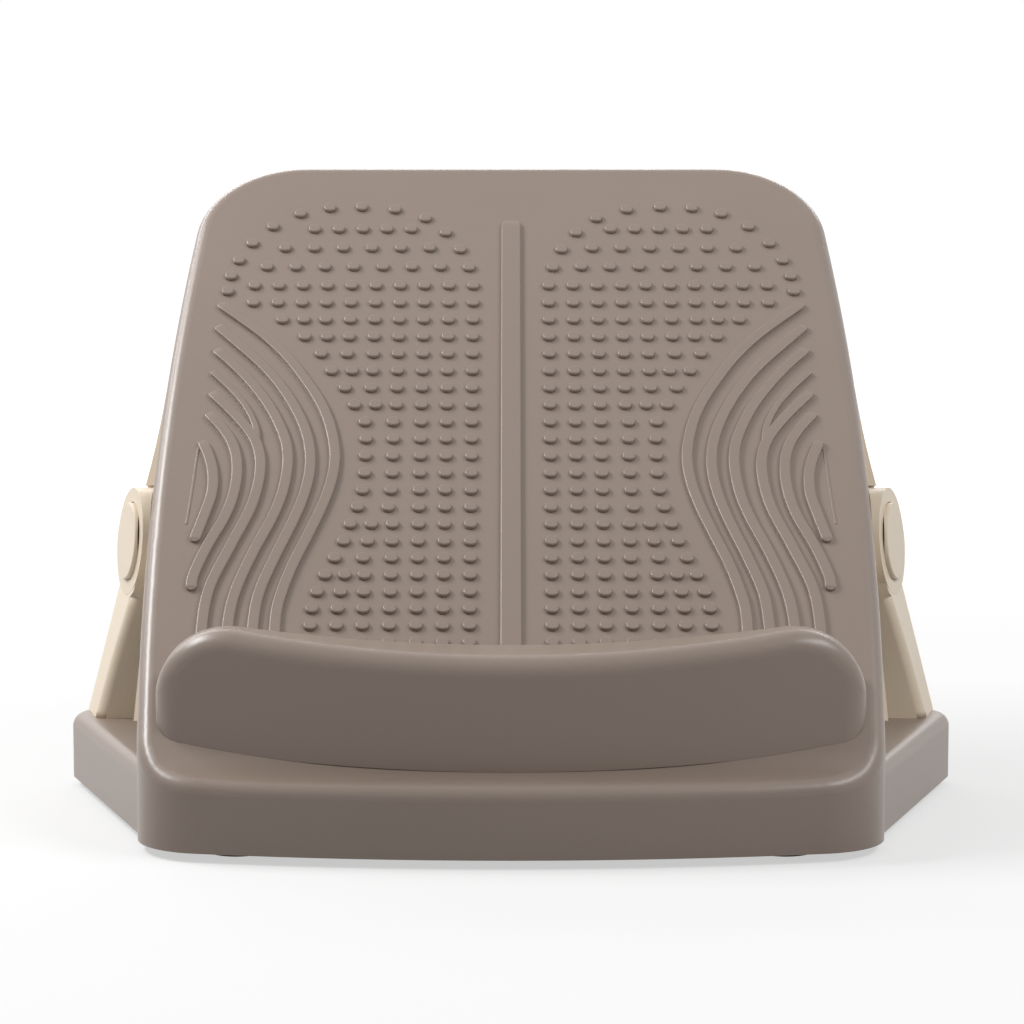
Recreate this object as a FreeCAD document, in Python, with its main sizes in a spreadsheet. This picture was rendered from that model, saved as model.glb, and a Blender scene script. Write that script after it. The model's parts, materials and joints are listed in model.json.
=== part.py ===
import FreeCAD, Part
import math
import os
import re
import Sketcher

# Tilting footrest with a massage tread. Millimetres, +Z up, +X to the sitter's right, +Y away
# from the sitter. The origin is on the floor at the middle of the whole footrest.
# Lengths along Y are first measured from the foremost line of the apron, then moved by frontY.

doc = FreeCAD.newDocument("footrest")
sheet = doc.addObject("Spreadsheet::Sheet", "sizes")
scratch = doc.addObject("Spreadsheet::Sheet", "scratch")

# Driving sizes: name, value and what it measures
drivingSizes = [
    ("treadWidth", 332, "tread across its sides, where it is widest"),
    ("treadLength", 417.4, "tread from the heel ledge to its far end, along the slope"),
    ("treadTilt", 37, "slope of the tread at its steepest, degrees"),
    ("treadWall", 4, "skin and rim of the tread"),
    ("rimDepth", 15, "rim of the tread, square to the slope"),
    ("rimRadius", 7, "rounding of the rim's upper edge"),
    ("treadCorner", 54, "far corners of the tread"),
    ("sideBow", 1510, "bow of the tread's sides seen from above"),
    ("sideMiddle", 155, "widest line of the tread behind the apron's front"),
    ("ledgeDepth", 22, "ledge in front of the heel stop"),
    ("ledgeHeight", 36, "ledge above the floor"),
    ("ledgeBlend", 26, "hollow curve from the ledge to the slope"),
    ("bowRadius", 664, "bow of the apron seen from above"),
    ("apronCorner", 34, "upright corners of the apron"),
    ("cheekBack", 52, "rear end of the apron's cheeks"),
    ("floorGap", 4, "shells above the floor"),
    ("ribThick", 2, "stiffening ribs"),
    ("ribDepth", 7, "stiffening ribs below the skin"),
    ("ribSpacing", 66, "between cross ribs"),
    ("bossRadius", 5, "screw bosses"),
    ("spineWidth", 9, "raised bar between the feet"),
    ("spineStart", 62.5, "near end of the bar, along the slope"),
    ("spineShort", 50.4, "bar stops short of the tread's far end, along the slope"),
    ("reliefHeight", 1.4, "studs, ridges and bar above the skin"),
    ("reliefMargin", 21.4, "outermost ridge from the tread's widest line"),
    ("toeMargin", 35.7, "farthest studs short of the tread's far end, along the slope"),
    ("studRadius", 2.6, "massage studs"),
    ("studRowPitch", 10.35, "between the nearest rows of studs"),
    ("studRowGrowth", 0.12, "added to that pitch from row to row"),
    ("studColumnPitch", 11.9, "between columns of studs"),
    ("studFirstRow", 78.8, "nearest row, along the slope"),
    ("studFirstColumn", 18.4, "innermost column from the middle"),
    ("ridgeWidth", 4.4, "width of an arch ridge"),
    ("forkWidth", 2.4, "width of the thin fork of the fourth ridge"),
    ("stopGap", 0.1, "heel stop above the tread"),
    ("heelInset", 12, "ends of the heel stop inside the tread's widest line"),
    ("heelBack", 62, "heel stop's back, along the slope"),
    ("heelSaddle", 87, "top of the heel stop at its middle, above the floor"),
    ("heelHorn", 96.5, "top of the heel stop at its horns, above the floor"),
    ("heelShoulder", 32, "rounding of the heel stop's upper ends"),
    ("heelFoot", 12, "rounding of the heel stop's lower ends"),
    ("heelEnd", 13, "upright corners of the heel stop's ends"),
    ("heelRound", 9, "rounding along the heel stop's top"),
    ("wingFront", 53, "front of the base's wings"),
    ("wingInset", 4, "front of the base's wings inside the tread's widest line"),
    ("wingMargin", 12.1, "base beyond the legs' feet at its rear, before its corners"),
    ("wingBehind", 5, "rear corners of the base behind the legs"),
    ("rearBow", 1230, "bow of the base's rear edge"),
    ("wingCorner", 18, "rear corners of the base"),
    ("wingRound", 6, "rounding of the base's upper edge"),
    ("baseTop", 34, "top of the base above the floor"),
    ("baseWall", 3.5, "wall of the base"),
    ("tongueTop", 29, "top of the base's tongue inside the apron"),
    ("tongueGap", 1.5, "tongue to the apron's inside"),
    ("coverThick", 2.5, "bottom cover"),
    ("coverGap", 0.5, "around the bottom cover"),
    ("footRadius", 14, "rubber feet"),
    ("footFrontX", 118, "front feet from the middle"),
    ("footFrontY", 39, "front feet behind the apron's front"),
    ("footInset", 46.3, "rear feet from the base's rear corners, across"),
    ("footBack", 35, "rear feet in front of the base's rear"),
    ("footStem", 4, "radius of the feet's stems"),
    ("hubAlong", 177.5, "tilt axis along the slope"),
    ("earDrop", 0.6, "ear of a side rail below the rim"),
    ("hubRadius", 25, "boss at the top of a leg"),
    ("railInset", 0.5, "outer face of a side rail inside the tread's widest line"),
    ("railWeb", 9.5, "thickness of a side rail"),
    ("railDepth", 12, "side rail below the rim"),
    ("railSeat", 19, "width of the side rail under the rim"),
    ("railStart", 46, "near end of a side rail, along the slope"),
    ("railShort", 77.4, "side rails stop short of the tread's far end, along the slope"),
    ("railTaper", 84.5, "the swelling of the rail's outer face ends this far beyond the tilt axis"),
    ("railTuck", 40, "and from there the face draws in under the rim over this length"),
    ("railTucked", 6.5, "drawn-in face of a side rail inside the tread's widest line"),
    ("railSwell", 6.4, "swelling of the rail's outer face just beyond the hub"),
    ("railBow", 880, "hollow bow of that swelling"),
    ("earRadius", 18, "ear of a side rail round the tilt axis"),
    ("earThick", 12.5, "ear of a side rail along the tilt axis"),
    ("washerThick", 1, "friction washer"),
    ("legAhead", 12, "front of a leg's foot in front of the tilt axis"),
    ("legBehind", 14, "back of a leg's foot behind the tilt axis"),
    ("legArch", 150, "hollow front edge of a leg"),
    ("legReach", 33.7, "outer rear corner of a leg's foot beyond its inner face"),
    ("legLean", 15.9, "inward lean of a leg's outer face, degrees"),
    ("legSplay", 14, "splay of a leg's outer face seen from above, degrees"),
    ("legShell", 11, "outer shell of a leg, measured along X"),
    ("capRadius", 18, "release button"),
    ("capBeyond", 13.8, "middle of the button's face beyond the leg's inner face"),
    ("capProud", 2, "button's face beyond the boss"),
    ("capSplay", 18, "splay of the button's face, degrees"),
    ("capLean", 6, "inward lean of the button's face, degrees"),
    ("capGap", 0.4, "round the button"),
    ("hubFloor", 3, "floor of the boss under the button"),
    ("buttonTravel", 3, "travel of the button"),
    ("sleeveRadius", 7, "outside of the pivot sleeve"),
    ("sleeveWall", 3.2, "wall of the pivot sleeve"),
    ("sleeveFlange", 9, "flange of the pivot sleeve"),
    ("flangeThick", 1.2, "thickness of that flange"),
    ("runningGap", 0.05, "pivot sleeve in the ear"),
    ("stemGap", 0.3, "button stem in the sleeve"),
    ("padThick", 1, "friction pad"),
    ("padRadius", 14.5, "friction pad"),
    ("lockThick", 3, "lock plate"),
    ("lockRadius", 15.2, "lock plate"),
    ("screwShank", 1.75, "radius of the screws"),
    ("screwHead", 3.4, "radius of the screw heads"),
    ("headThick", 2, "thickness of the screw heads"),
    ("screwGap", 0.2, "screws in their holes"),
    ("springWire", 0.8, "wire of the conical springs under the buttons"),
    ("springWide", 8.4, "wide end of such a spring, to the wire's middle"),
    ("springNarrow", 6.6, "narrow end of such a spring, to the wire's middle"),
    ("springTurns", 2, "turns of such a spring"),
    ("springGap", 0.02, "spring to the faces at its ends"),
    ("capHollow", 10, "hollow under the button"),
    ("capCeiling", 8.9, "top of that hollow from the leg's inner face"),
    ("capRim", 1, "rounding of the button's rim"),
    ("stemHead", 6, "head of the button's stem"),
    ("sleeveShort", 1.5, "pivot sleeve stops short of the ear's inner face"),
    ("tieRadius", 8, "tie bar"),
    ("tieWall", 1.5, "wall of the tie bar"),
    ("tieBeyond", 34.5, "tie bar beyond the tilt axis, along the slope"),
    ("tieBelow", 27, "tie bar below the tread's surface"),
    ("bumperRadius", 7, "stop bumpers"),
    ("bumperX", 70, "stop bumpers from the middle"),
    ("bumperY", 22, "stop bumpers behind the apron's front"),
]

aliases = []
worked = {}


def defineSize(alias, content, note):
    row = len(aliases) + 1
    sheet.set("A%d" % row, alias)
    sheet.set("B%d" % row, content)
    sheet.set("C%d" % row, note)
    sheet.setAlias("B%d" % row, alias)
    aliases.append(alias)


def bound(formula):
    # The formula with each size's name led back to the sheet
    return re.sub(r"[A-Za-z]\w*", lambda word: "sizes." + word.group() if word.group() in aliases else word.group(),
                  formula)


def size(formula):
    # The formula's value, worked out once in a cell of the scratch sheet
    if formula not in worked:
        scratch.set("A1", "=" + bound(formula))
        scratch.recompute()
        worked[formula] = float(scratch.get("A1"))
    return worked[formula]


def slopeY(along, above):
    # Distance behind the apron's front of a point given along and above the slope
    return "ledgeDepth + (%s) * cos(treadTilt) - (%s) * sin(treadTilt)" % (along, above)


def slopeZ(along, above):
    return "ledgeHeight + (%s) * sin(treadTilt) + (%s) * cos(treadTilt)" % (along, above)


for alias, value, note in drivingSizes:
    defineSize(alias, str(value), note)
doc.recompute()

# Sizes that follow from the driving ones
defineSize("wholeDepth", "=" + slopeY("treadLength", "-rimDepth"), "front of the apron to the far end")
defineSize("frontY", "=-wholeDepth / 2", "front of the apron from the origin")
defineSize("treadHalf", "=treadWidth / 2", "half the tread's width")
defineSize("hubBelow", "=rimDepth + earRadius + earDrop", "tilt axis below the tread's surface")
defineSize("hubBack", "=" + slopeY("hubAlong", "-hubBelow"), "tilt axis behind the apron's front")
defineSize("hubHeight", "=" + slopeZ("hubAlong", "-hubBelow"), "tilt axis above the floor")
defineSize("heelWidth", "=treadWidth - 2 * heelInset", "heel stop across its ends")
defineSize("railFace", "=treadHalf - railInset", "outer face of a side rail from the middle")
defineSize("earFace", "=railFace - earThick", "inner face of a rail's ear")
defineSize("legFace", "=railFace + washerThick", "inner face of a leg")
defineSize("legFoot", "=legFace + legReach", "outer rear corner of a leg's foot from the middle")
defineSize("legFront", "=hubBack - legAhead", "front of a leg's foot")
defineSize("legBack", "=hubBack + legBehind", "back of a leg's foot")
defineSize("capFace", "=legFace + capBeyond", "middle of the button's face from the middle")
defineSize("wingFrontHalf", "=treadHalf - wingInset", "half width of the base at the front of its wings")
defineSize("wingRear", "=legBack + wingBehind", "rear of the base at its corners")
defineSize("wingRearHalf", "=legFoot + wingMargin", "half width of the base at its rear, before its corners")
defineSize("footRearX", "=wingRearHalf - footInset", "rear feet from the middle")
defineSize("footRearY", "=wingRear - footBack", "rear feet behind the apron's front")
defineSize("railEnd", "=treadLength - railShort", "far end of a side rail, along the slope")
defineSize("railDrawn", "=hubAlong + railTaper", "where the rail's swelling ends, along the slope")
defineSize("tieAlong", "=hubAlong + tieBeyond", "tie bar along the slope")
defineSize("spineEnd", "=treadLength - spineShort", "far end of the bar, along the slope")
defineSize("bossFloor", "=legFace + hubFloor", "floor of the boss under the button")
defineSize("bowDepth", "=bowRadius - sqrt(bowRadius ^ 2 - treadHalf ^ 2)", "bow of the apron at its ends")
defineSize("saddleLift", "=heelSaddle - heelHorn + heelShoulder", "saddle's lowest point above the shoulders' centres")
defineSize("shoulderX", "=heelWidth / 2 - heelShoulder", "shoulders' centres from the middle")
defineSize("saddleRadius", "=(shoulderX ^ 2 + saddleLift ^ 2 - heelShoulder ^ 2) / (2 * (heelShoulder - saddleLift))",
           "saddle, tangent to both shoulders")
defineSize("hornX", "=shoulderX * saddleRadius / (saddleRadius + heelShoulder)", "where the saddle meets a shoulder")
defineSize("hornZ", "=heelHorn - heelShoulder + heelShoulder * (saddleRadius + saddleLift) / (saddleRadius + heelShoulder)",
           "height of that place")
defineSize("endBack", "=ledgeDepth + bowRadius - sqrt((bowRadius - heelEnd) ^ 2 - (heelWidth / 2 - heelEnd) ^ 2)",
           "centres of the heel stop's upright corners")
defineSize("endX", "=(heelWidth / 2 - heelEnd) * bowRadius / (bowRadius - heelEnd)", "where the bow meets a corner")
defineSize("endY", "=ledgeDepth + bowRadius - (ledgeDepth + bowRadius - endBack) * bowRadius / (bowRadius - heelEnd)",
           "how far back that place is")
defineSize("sideDrop", "=sideBow - sqrt(sideBow ^ 2 - sideMiddle ^ 2)", "bow of the tread's sides at the apron's front")
defineSize("tongueHalf", "=treadHalf - sideDrop - treadWall - tongueGap", "half width of the base's tongue")
defineSize("tongueBow", "=bowRadius - treadWall - tongueGap", "bow of the tongue's front")
defineSize("tongueCorner", "=apronCorner + 6", "corners of the tongue")
doc.recompute()


# Drawing helpers

def originPlane(body, role):
    return [feature for feature in body.Origin.OriginFeatures if feature.Role == role][0]


def addBody(label):
    body = doc.addObject("PartDesign::Body", label)
    body.Label = label
    return body


def addSketch(body, role, offset="0", tilted=False):
    # A sketch on one of the body's origin planes, raised by offset, or on a plane along the slope
    sketch = body.newObject("Sketcher::SketchObject", body.Label + "_sketch")
    sketch.AttachmentSupport = [(originPlane(body, role), "")]
    sketch.MapMode = "FlatFace"
    if tilted:
        sketch.AttachmentOffset = FreeCAD.Placement(
            FreeCAD.Vector(0, size(slopeY("0", offset)), size(slopeZ("0", offset))),
            FreeCAD.Rotation(FreeCAD.Vector(1, 0, 0), size("treadTilt")))
        sketch.setExpression("AttachmentOffset.Base.y", bound(slopeY("0", offset)))
        sketch.setExpression("AttachmentOffset.Base.z", bound(slopeZ("0", offset)))
        sketch.setExpression("AttachmentOffset.Rotation.Angle", bound("treadTilt"))
    else:
        sketch.AttachmentOffset = FreeCAD.Placement(FreeCAD.Vector(0, 0, size(offset)), FreeCAD.Rotation())
        sketch.setExpression("AttachmentOffset.Base.z", bound(offset))
    return sketch


def constrain(sketch, kind, references, formula):
    index = sketch.addConstraint(Sketcher.Constraint(kind, *references, size(formula)))
    sketch.setExpression("Constraints[%d]" % index, bound(formula))


def drawLoop(sketch, corners):
    # A closed outline, anticlockwise. A corner is (x, y), or (x, y, radius) where an arc leads to
    # the next corner: it bulges outwards, or inwards where the radius is led by a minus sign.
    first = sketch.GeometryCount
    places = [FreeCAD.Vector(size(corner[0]), size(corner[1]), 0) for corner in corners]
    ends = []
    for index, corner in enumerate(corners):
        start = places[index]
        finish = places[(index + 1) % len(corners)]
        if len(corner) == 2:
            sketch.addGeometry(Part.LineSegment(start, finish), False)
            ends.append((1, 2))
            continue
        hollow = corner[2].startswith("-")
        radius = size(corner[2].lstrip("-"))
        chord = finish - start
        side = FreeCAD.Vector(-chord.y, chord.x, 0).normalize()
        reach = math.sqrt(radius ** 2 - (chord.Length / 2) ** 2)
        centre = (start + finish) * 0.5 + side * (-reach if hollow else reach)
        tail, head = (finish, start) if hollow else (start, finish)
        startAngle = math.atan2(tail.y - centre.y, tail.x - centre.x)
        endAngle = math.atan2(head.y - centre.y, head.x - centre.x)
        if endAngle < startAngle:
            endAngle += 2 * math.pi
        circle = Part.Circle(centre, FreeCAD.Vector(0, 0, 1), radius)
        sketch.addGeometry(Part.ArcOfCircle(circle, startAngle, endAngle), False)
        ends.append((2, 1) if hollow else (1, 2))
    for index, corner in enumerate(corners):
        following = (index + 1) % len(corners)
        sketch.addConstraint(Sketcher.Constraint("Coincident", first + index, ends[index][1],
                                                 first + following, ends[following][0]))
    for index, corner in enumerate(corners):
        constrain(sketch, "DistanceX", (-1, 1, first + index, ends[index][0]), corner[0])
        constrain(sketch, "DistanceY", (-1, 1, first + index, ends[index][0]), corner[1])
        if len(corner) == 3:
            constrain(sketch, "Radius", (first + index,), corner[2].lstrip("-"))


def drawCircle(sketch, x, y, radius):
    index = sketch.GeometryCount
    circle = Part.Circle(FreeCAD.Vector(size(x), size(y), 0), FreeCAD.Vector(0, 0, 1), size(radius))
    sketch.addGeometry(circle, False)
    constrain(sketch, "DistanceX", (-1, 1, index, 3), x)
    constrain(sketch, "DistanceY", (-1, 1, index, 3), y)
    constrain(sketch, "Radius", (index,), radius)


def addExtrusion(kind, body, sketch, length, side="One side", backwards=False):
    feature = body.newObject("PartDesign::" + kind, body.Label + "_" + kind.lower())
    feature.Profile = sketch
    feature.SideType = side
    feature.Reversed = backwards
    feature.Length = size(length)
    feature.setExpression("Length", bound(length))
    sketch.Visibility = False
    doc.recompute()
    return feature


def addFillet(body, radius, chosen):
    # Rounds the edges of the body for which chosen(edge) is true
    base = body.Tip
    names = ["Edge%d" % (index + 1) for index, edge in enumerate(base.Shape.Edges) if chosen(edge)]
    feature = body.newObject("PartDesign::Fillet", body.Label + "_fillet")
    feature.Base = (base, names)
    feature.Radius = size(radius)
    feature.setExpression("Radius", bound(radius))
    doc.recompute()
    return feature


def place(body, y="frontY", x="0", z="0"):
    body.Placement = FreeCAD.Placement(FreeCAD.Vector(size(x), size(y), size(z)), FreeCAD.Rotation())
    body.setExpression("Placement.Base.x", bound(x))
    body.setExpression("Placement.Base.y", bound(y))
    body.setExpression("Placement.Base.z", bound(z))


def turned(label, corners):
    # A body turned about the X axis from a half section given as (x, radius) corners
    body = addBody(label)
    sketch = addSketch(body, "XY_Plane")
    drawLoop(sketch, corners)
    feature = body.newObject("PartDesign::Revolution", label + "_revolution")
    feature.Profile = sketch
    feature.ReferenceAxis = (sketch, ["H_Axis"])
    feature.Angle = 360
    doc.recompute()
    return body


def onHub(body):
    place(body, y="frontY + hubBack", z="hubHeight")


def middle(edge):
    return edge.BoundBox.Center


def isUpright(edge):
    box = edge.BoundBox
    return box.XLength < 0.01 and box.YLength < 0.01


def combine(kind, label, base, tool):
    result = doc.addObject("Part::" + kind, label)
    result.Base = base
    result.Tool = tool
    result.Label = label
    doc.recompute()
    return result


def mirrored(label, source):
    result = doc.addObject("Part::Mirroring", label)
    result.Source = source
    result.Normal = FreeCAD.Vector(1, 0, 0)
    result.Label = label
    doc.recompute()
    return result


nodes = []


def keepPair(name, right):
    # The right-hand piece and its mirror image on the left
    right.Label = name + "_right"
    nodes.append(right)
    nodes.append(mirrored(name + "_left", right))


# Tread: plate, rim and apron in one moulding

tread = addBody("tread_blank")
outline = addSketch(tread, "YZ_Plane")
blendReach = "ledgeBlend * tan(treadTilt / 2)"
cheekAlong = "(cheekBack - ledgeDepth - rimDepth * sin(treadTilt)) / cos(treadTilt)"
drawLoop(outline, [
    ("0", "floorGap"),
    ("cheekBack", "floorGap"),
    ("cheekBack", slopeZ(cheekAlong, "-rimDepth")),
    (slopeY("treadLength", "-rimDepth"), slopeZ("treadLength", "-rimDepth")),
    (slopeY("treadLength", "0"), slopeZ("treadLength", "0")),
    (slopeY(blendReach, "0"), slopeZ(blendReach, "0"), "-ledgeBlend"),
    ("ledgeDepth - " + blendReach, "ledgeHeight"),
    ("0", "ledgeHeight"),
])
addExtrusion("Pad", tread, outline, "treadWidth", "Symmetric")

# The bow of the apron, cut from above
margin = "10"
bow = addSketch(tread, "XY_Plane")
drawLoop(bow, [
    ("-treadHalf - " + margin, "-" + margin),
    ("treadHalf + " + margin, "-" + margin),
    ("treadHalf + " + margin, "bowRadius - sqrt(bowRadius ^ 2 - (treadHalf + %s) ^ 2)" % margin, "-bowRadius"),
    ("-treadHalf - " + margin, "bowRadius - sqrt(bowRadius ^ 2 - (treadHalf + %s) ^ 2)" % margin),
])
addExtrusion("Pocket", tread, bow, "ledgeHeight * 4", backwards=True)



def sideAt(y, inset="0"):
    # Half the tread's width at a distance behind the apron's front, drawn in by inset
    return "treadHalf - sideBow + sqrt((sideBow - %s) ^ 2 - (sideMiddle - (%s)) ^ 2)" % (inset, y)


# The bows of both sides
sides = addSketch(tread, "XY_Plane")
beyond = "wholeDepth + " + margin
drawLoop(sides, [
    (sideAt("-" + margin), "-" + margin),
    ("treadHalf + " + margin, "-" + margin),
    ("treadHalf + " + margin, beyond),
    (sideAt(beyond), beyond, "-sideBow"),
])
drawLoop(sides, [
    ("-treadHalf - " + margin, "-" + margin),
    ("-(" + sideAt("-" + margin) + ")", "-" + margin, "-sideBow"),
    ("-(" + sideAt(beyond) + ")", beyond),
    ("-treadHalf - " + margin, beyond),
])
addExtrusion("Pocket", tread, sides, slopeZ("treadLength", margin), backwards=True)

halfWidth = size("treadHalf")
addFillet(tread, "apronCorner", lambda edge: isUpright(edge) and abs(middle(edge).x) > halfWidth - 20
          and middle(edge).y < size("cheekBack") - 1)
farZ = size(slopeZ("treadLength", "-rimDepth"))
addFillet(tread, "treadCorner", lambda edge: edge.BoundBox.XLength < 3 and edge.BoundBox.ZMin > farZ - 0.01
          and middle(edge).y > size("cheekBack"))
topEdgeY = size(slopeY("treadLength", "0"))
addFillet(tread, "rimRadius", lambda edge: abs(middle(edge).y - topEdgeY) < 0.01
          and edge.BoundBox.YLength < 0.01 and edge.BoundBox.ZLength < 0.01)


# The inside of the apron, open below
inside = addSketch(tread, "XY_Plane", "floorGap - 1")
insideBow = "(bowRadius - treadWall)"
insideCorner = "(treadHalf - sideDrop - apronCorner)"
insideBend = "bowRadius - sqrt(%s ^ 2 - %s ^ 2)" % (insideBow, insideCorner)
insideCheek = "(" + sideAt("cheekBack - 4", "treadWall") + ")"
drawLoop(inside, [
    (insideCorner, insideBend),
    (insideCheek, "cheekBack - 4"),
    (insideCheek, "cheekBack + 20"),
    ("-" + insideCheek, "cheekBack + 20"),
    ("-" + insideCheek, "cheekBack - 4"),
    ("-" + insideCorner, insideBend, insideBow),
])
addExtrusion("Pocket", tread, inside, "ledgeHeight - treadWall - floorGap + 1", backwards=True)

# The hollow under the slope
hollow = addSketch(tread, "XY_Plane", "-treadWall", tilted=True)
hollowBow = "(sideBow - treadWall) / cos(treadTilt) ^ 2"
hollowNear = "(" + sideAt(slopeY("10", "-treadWall"), "treadWall") + ")"
cornerNear = "(" + sideAt(slopeY("treadLength - treadCorner", "-treadWall"), "treadWall") + ")"
cornerFar = "(" + sideAt(slopeY("treadLength", "-treadWall")) + " - treadCorner)"
drawLoop(hollow, [
    (hollowNear, "10", hollowBow),
    (cornerNear, "treadLength - treadCorner", "treadCorner - treadWall"),
    (cornerFar, "treadLength - treadWall"),
    ("-" + cornerFar, "treadLength - treadWall", "treadCorner - treadWall"),
    ("-" + cornerNear, "treadLength - treadCorner", hollowBow),
    ("-" + hollowNear, "10"),
])
addExtrusion("Pocket", tread, hollow, "treadLength")

# Stiffening ribs under the skin
crossRib = addSketch(tread, "XY_Plane", "-treadWall", tilted=True)
ribHalf = "(treadHalf - sideDrop - treadWall)"
drawLoop(crossRib, [
    ("-" + ribHalf, "ribSpacing + ribThick"),
    ("-" + ribHalf, "ribSpacing"),
    (ribHalf, "ribSpacing"),
    (ribHalf, "ribSpacing + ribThick"),
])
ribPad = addExtrusion("Pad", tread, crossRib, "ribDepth", backwards=True)
ribCount = int((size("treadLength") - size("treadCorner")) / size("ribSpacing"))
ribPattern = tread.newObject("PartDesign::LinearPattern", "cross_ribs")
ribPattern.Originals = [ribPad]
ribPattern.Direction = (crossRib, ["V_Axis"])
ribPattern.Length = size("ribSpacing") * (ribCount - 1)
ribPattern.Occurrences = ribCount
tread.Tip = ribPattern
doc.recompute()
longRibs = addSketch(tread, "XY_Plane", "-treadWall", tilted=True)
for column in ("-treadHalf / 2", "0", "treadHalf / 2"):
    drawLoop(longRibs, [
        (column + " - ribThick / 2", "ribSpacing"),
        (column + " + ribThick / 2", "ribSpacing"),
        (column + " + ribThick / 2", "treadLength - treadWall"),
        (column + " - ribThick / 2", "treadLength - treadWall"),
    ])
addExtrusion("Pad", tread, longRibs, "ribDepth", backwards=True)

# Bosses for the rail screws, in the rim's corners
railScrewPlaces = ("railStart + 40", "hubAlong - 32", "0.45 * hubAlong + 0.55 * railEnd", "railEnd - 18")
screwX = "(railFace - railWeb - screwHead - 2 * screwGap)"
bosses = addSketch(tread, "XY_Plane", "-treadWall", tilted=True)
drills = addSketch(tread, "XY_Plane", "-rimDepth", tilted=True)
for along in railScrewPlaces:
    for side in ("", "-"):
        drawCircle(bosses, side + screwX, along, "bossRadius")
        drawCircle(drills, side + screwX, along, "screwShank + screwGap")
addExtrusion("Pad", tread, bosses, "rimDepth - treadWall", backwards=True)
addExtrusion("Pocket", tread, drills, "rimDepth - treadWall", backwards=True)


# Relief on the tread: the bar between the feet, the arch ridges and the massage studs

slope = FreeCAD.Placement(
    FreeCAD.Vector(0, size("frontY + ledgeDepth"), size("ledgeHeight")),
    FreeCAD.Rotation(FreeCAD.Vector(1, 0, 0), size("treadTilt")))
relief = size("reliefHeight")
sunk = 0.5
rise = FreeCAD.Vector(0, 0, relief + sunk)

# Places of the relief are given as (out from the middle, along the slope), as far as these two
drawnOut = 144.6
drawnAlong = 381.7
ridgeLines = (
    ((104.4, 60), (104.7, 94), (103.4, 106), (98.8, 126), (92.8, 145), (86.7, 165), (83, 182), (81.9, 197),
     (83.3, 211), (86.4, 225), (91.1, 238), (97.4, 251), (106.1, 266.5), (116.6, 281), (128.1, 293.5), (142.1, 307.5)),
    ((114.7, 60), (114.5, 90), (112.9, 109), (106.8, 132), (99.7, 155), (95.4, 172), (93.3, 188), (93.7, 202),
     (96.1, 215), (100.7, 229), (108.1, 245), (117.6, 260.5), (129.6, 275.7), (142.3, 291)),
    ((125.8, 60), (125.7, 90), (123.7, 109), (117.1, 134), (109.4, 157), (105.3, 174), (103.7, 192), (104.8, 206),
     (108.4, 219), (114.6, 234), (123.1, 249), (132.1, 262), (142.5, 274.5)),
    ((136.6, 60), (137.1, 92), (135.1, 113), (127.3, 139), (119.1, 165), (116.3, 186), (117.3, 201), (121.3, 213),
     (128.6, 225), (135.1, 234), (142.5, 243.4)),
    ((143.4, 111), (143.1, 119), (138.1, 138), (130.4, 160), (127.2, 178), (127.4, 195), (130.5, 208), (135.9, 218.5),
     (143.1, 228.6)),
    ((144.1, 142), (140.1, 160.5), (137.8, 173), (138, 186), (140.6, 198.5), (144.6, 209.5)),
)
forkLine = ((119, 205), (118.8, 211), (120, 219), (124.8, 232), (132.4, 244.5), (142.8, 257.8))

# Outermost studs of a sole from heel to toes
soleEdge = (
    (89.2, 60), (89.2, 90), (88.8, 100.5), (86.8, 111), (83.5, 121.5), (79.5, 132.5), (76, 143), (73.3, 154),
    (70.2, 165.5), (68.3, 177), (67.8, 188), (67.8, 211), (68.3, 222), (74, 235), (79.3, 248), (86.2, 260),
    (91.2, 271.5), (99.3, 283.5), (110.7, 296), (125.4, 308.5), (125.4, 340),
)


def onTread(out, along):
    # A place of the relief, stretched until its farthest ridge and studs keep their margins
    return FreeCAD.Vector(out * size("treadHalf - reliefMargin") / drawnOut,
                          along * size("treadLength - toeMargin") / drawnAlong, 0)


def ridgeSolid(corners, width):
    # A band with round ends along a smooth line through the corners, from behind the heel stop on
    half = size(width) / 2
    curve = Part.BSplineCurve()
    curve.interpolate([onTread(out, along) for out, along in corners])
    nearest = size("heelBack + ridgeWidth / 2 + 0.5")
    places = [place_ for place_ in curve.discretize(Number=31) if place_.y > nearest]
    places[0] += (places[1] - places[0]).normalize() * half
    places[-1] += (places[-2] - places[-1]).normalize() * half
    left = []
    right = []
    for index, place_ in enumerate(places):
        ahead = places[min(index + 1, len(places) - 1)] - places[max(index - 1, 0)]
        side = FreeCAD.Vector(-ahead.y, ahead.x, 0).normalize() * half
        left.append(place_ + side)
        right.append(place_ - side)
    leftEdge = Part.BSplineCurve()
    leftEdge.interpolate(left)
    rightEdge = Part.BSplineCurve()
    rightEdge.interpolate(right[::-1])
    headTip = places[-1] + (places[-1] - places[-2]).normalize() * half
    tailTip = places[0] + (places[0] - places[1]).normalize() * half
    head = Part.Arc(left[-1], headTip, right[-1])
    tail = Part.Arc(right[0], tailTip, left[0])
    wire = Part.Wire([leftEdge.toShape(), head.toShape(), rightEdge.toShape(), tail.toShape()])
    solid = Part.Face(wire).extrude(rise)
    solid.translate(FreeCAD.Vector(0, 0, -sunk))
    return solid


reliefSolids = []
bands = [ridgeSolid(corners, "ridgeWidth") for corners in ridgeLines]
bands[3] = bands[3].fuse(ridgeSolid(forkLine, "forkWidth")).removeSplitter()
for band in bands:
    reliefSolids.append(band)
    reliefSolids.append(band.mirror(FreeCAD.Vector(), FreeCAD.Vector(1, 0, 0)))

bar = Part.makeBox(size("spineWidth"), size("spineEnd - spineStart"), rise.z,
                   FreeCAD.Vector(-size("spineWidth") / 2, size("spineStart"), -sunk))
barEnd = Part.makeCylinder(size("spineWidth") / 2, rise.z, FreeCAD.Vector(0, size("spineEnd"), -sunk))
reliefSolids.append(bar.fuse(barEnd))


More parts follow.
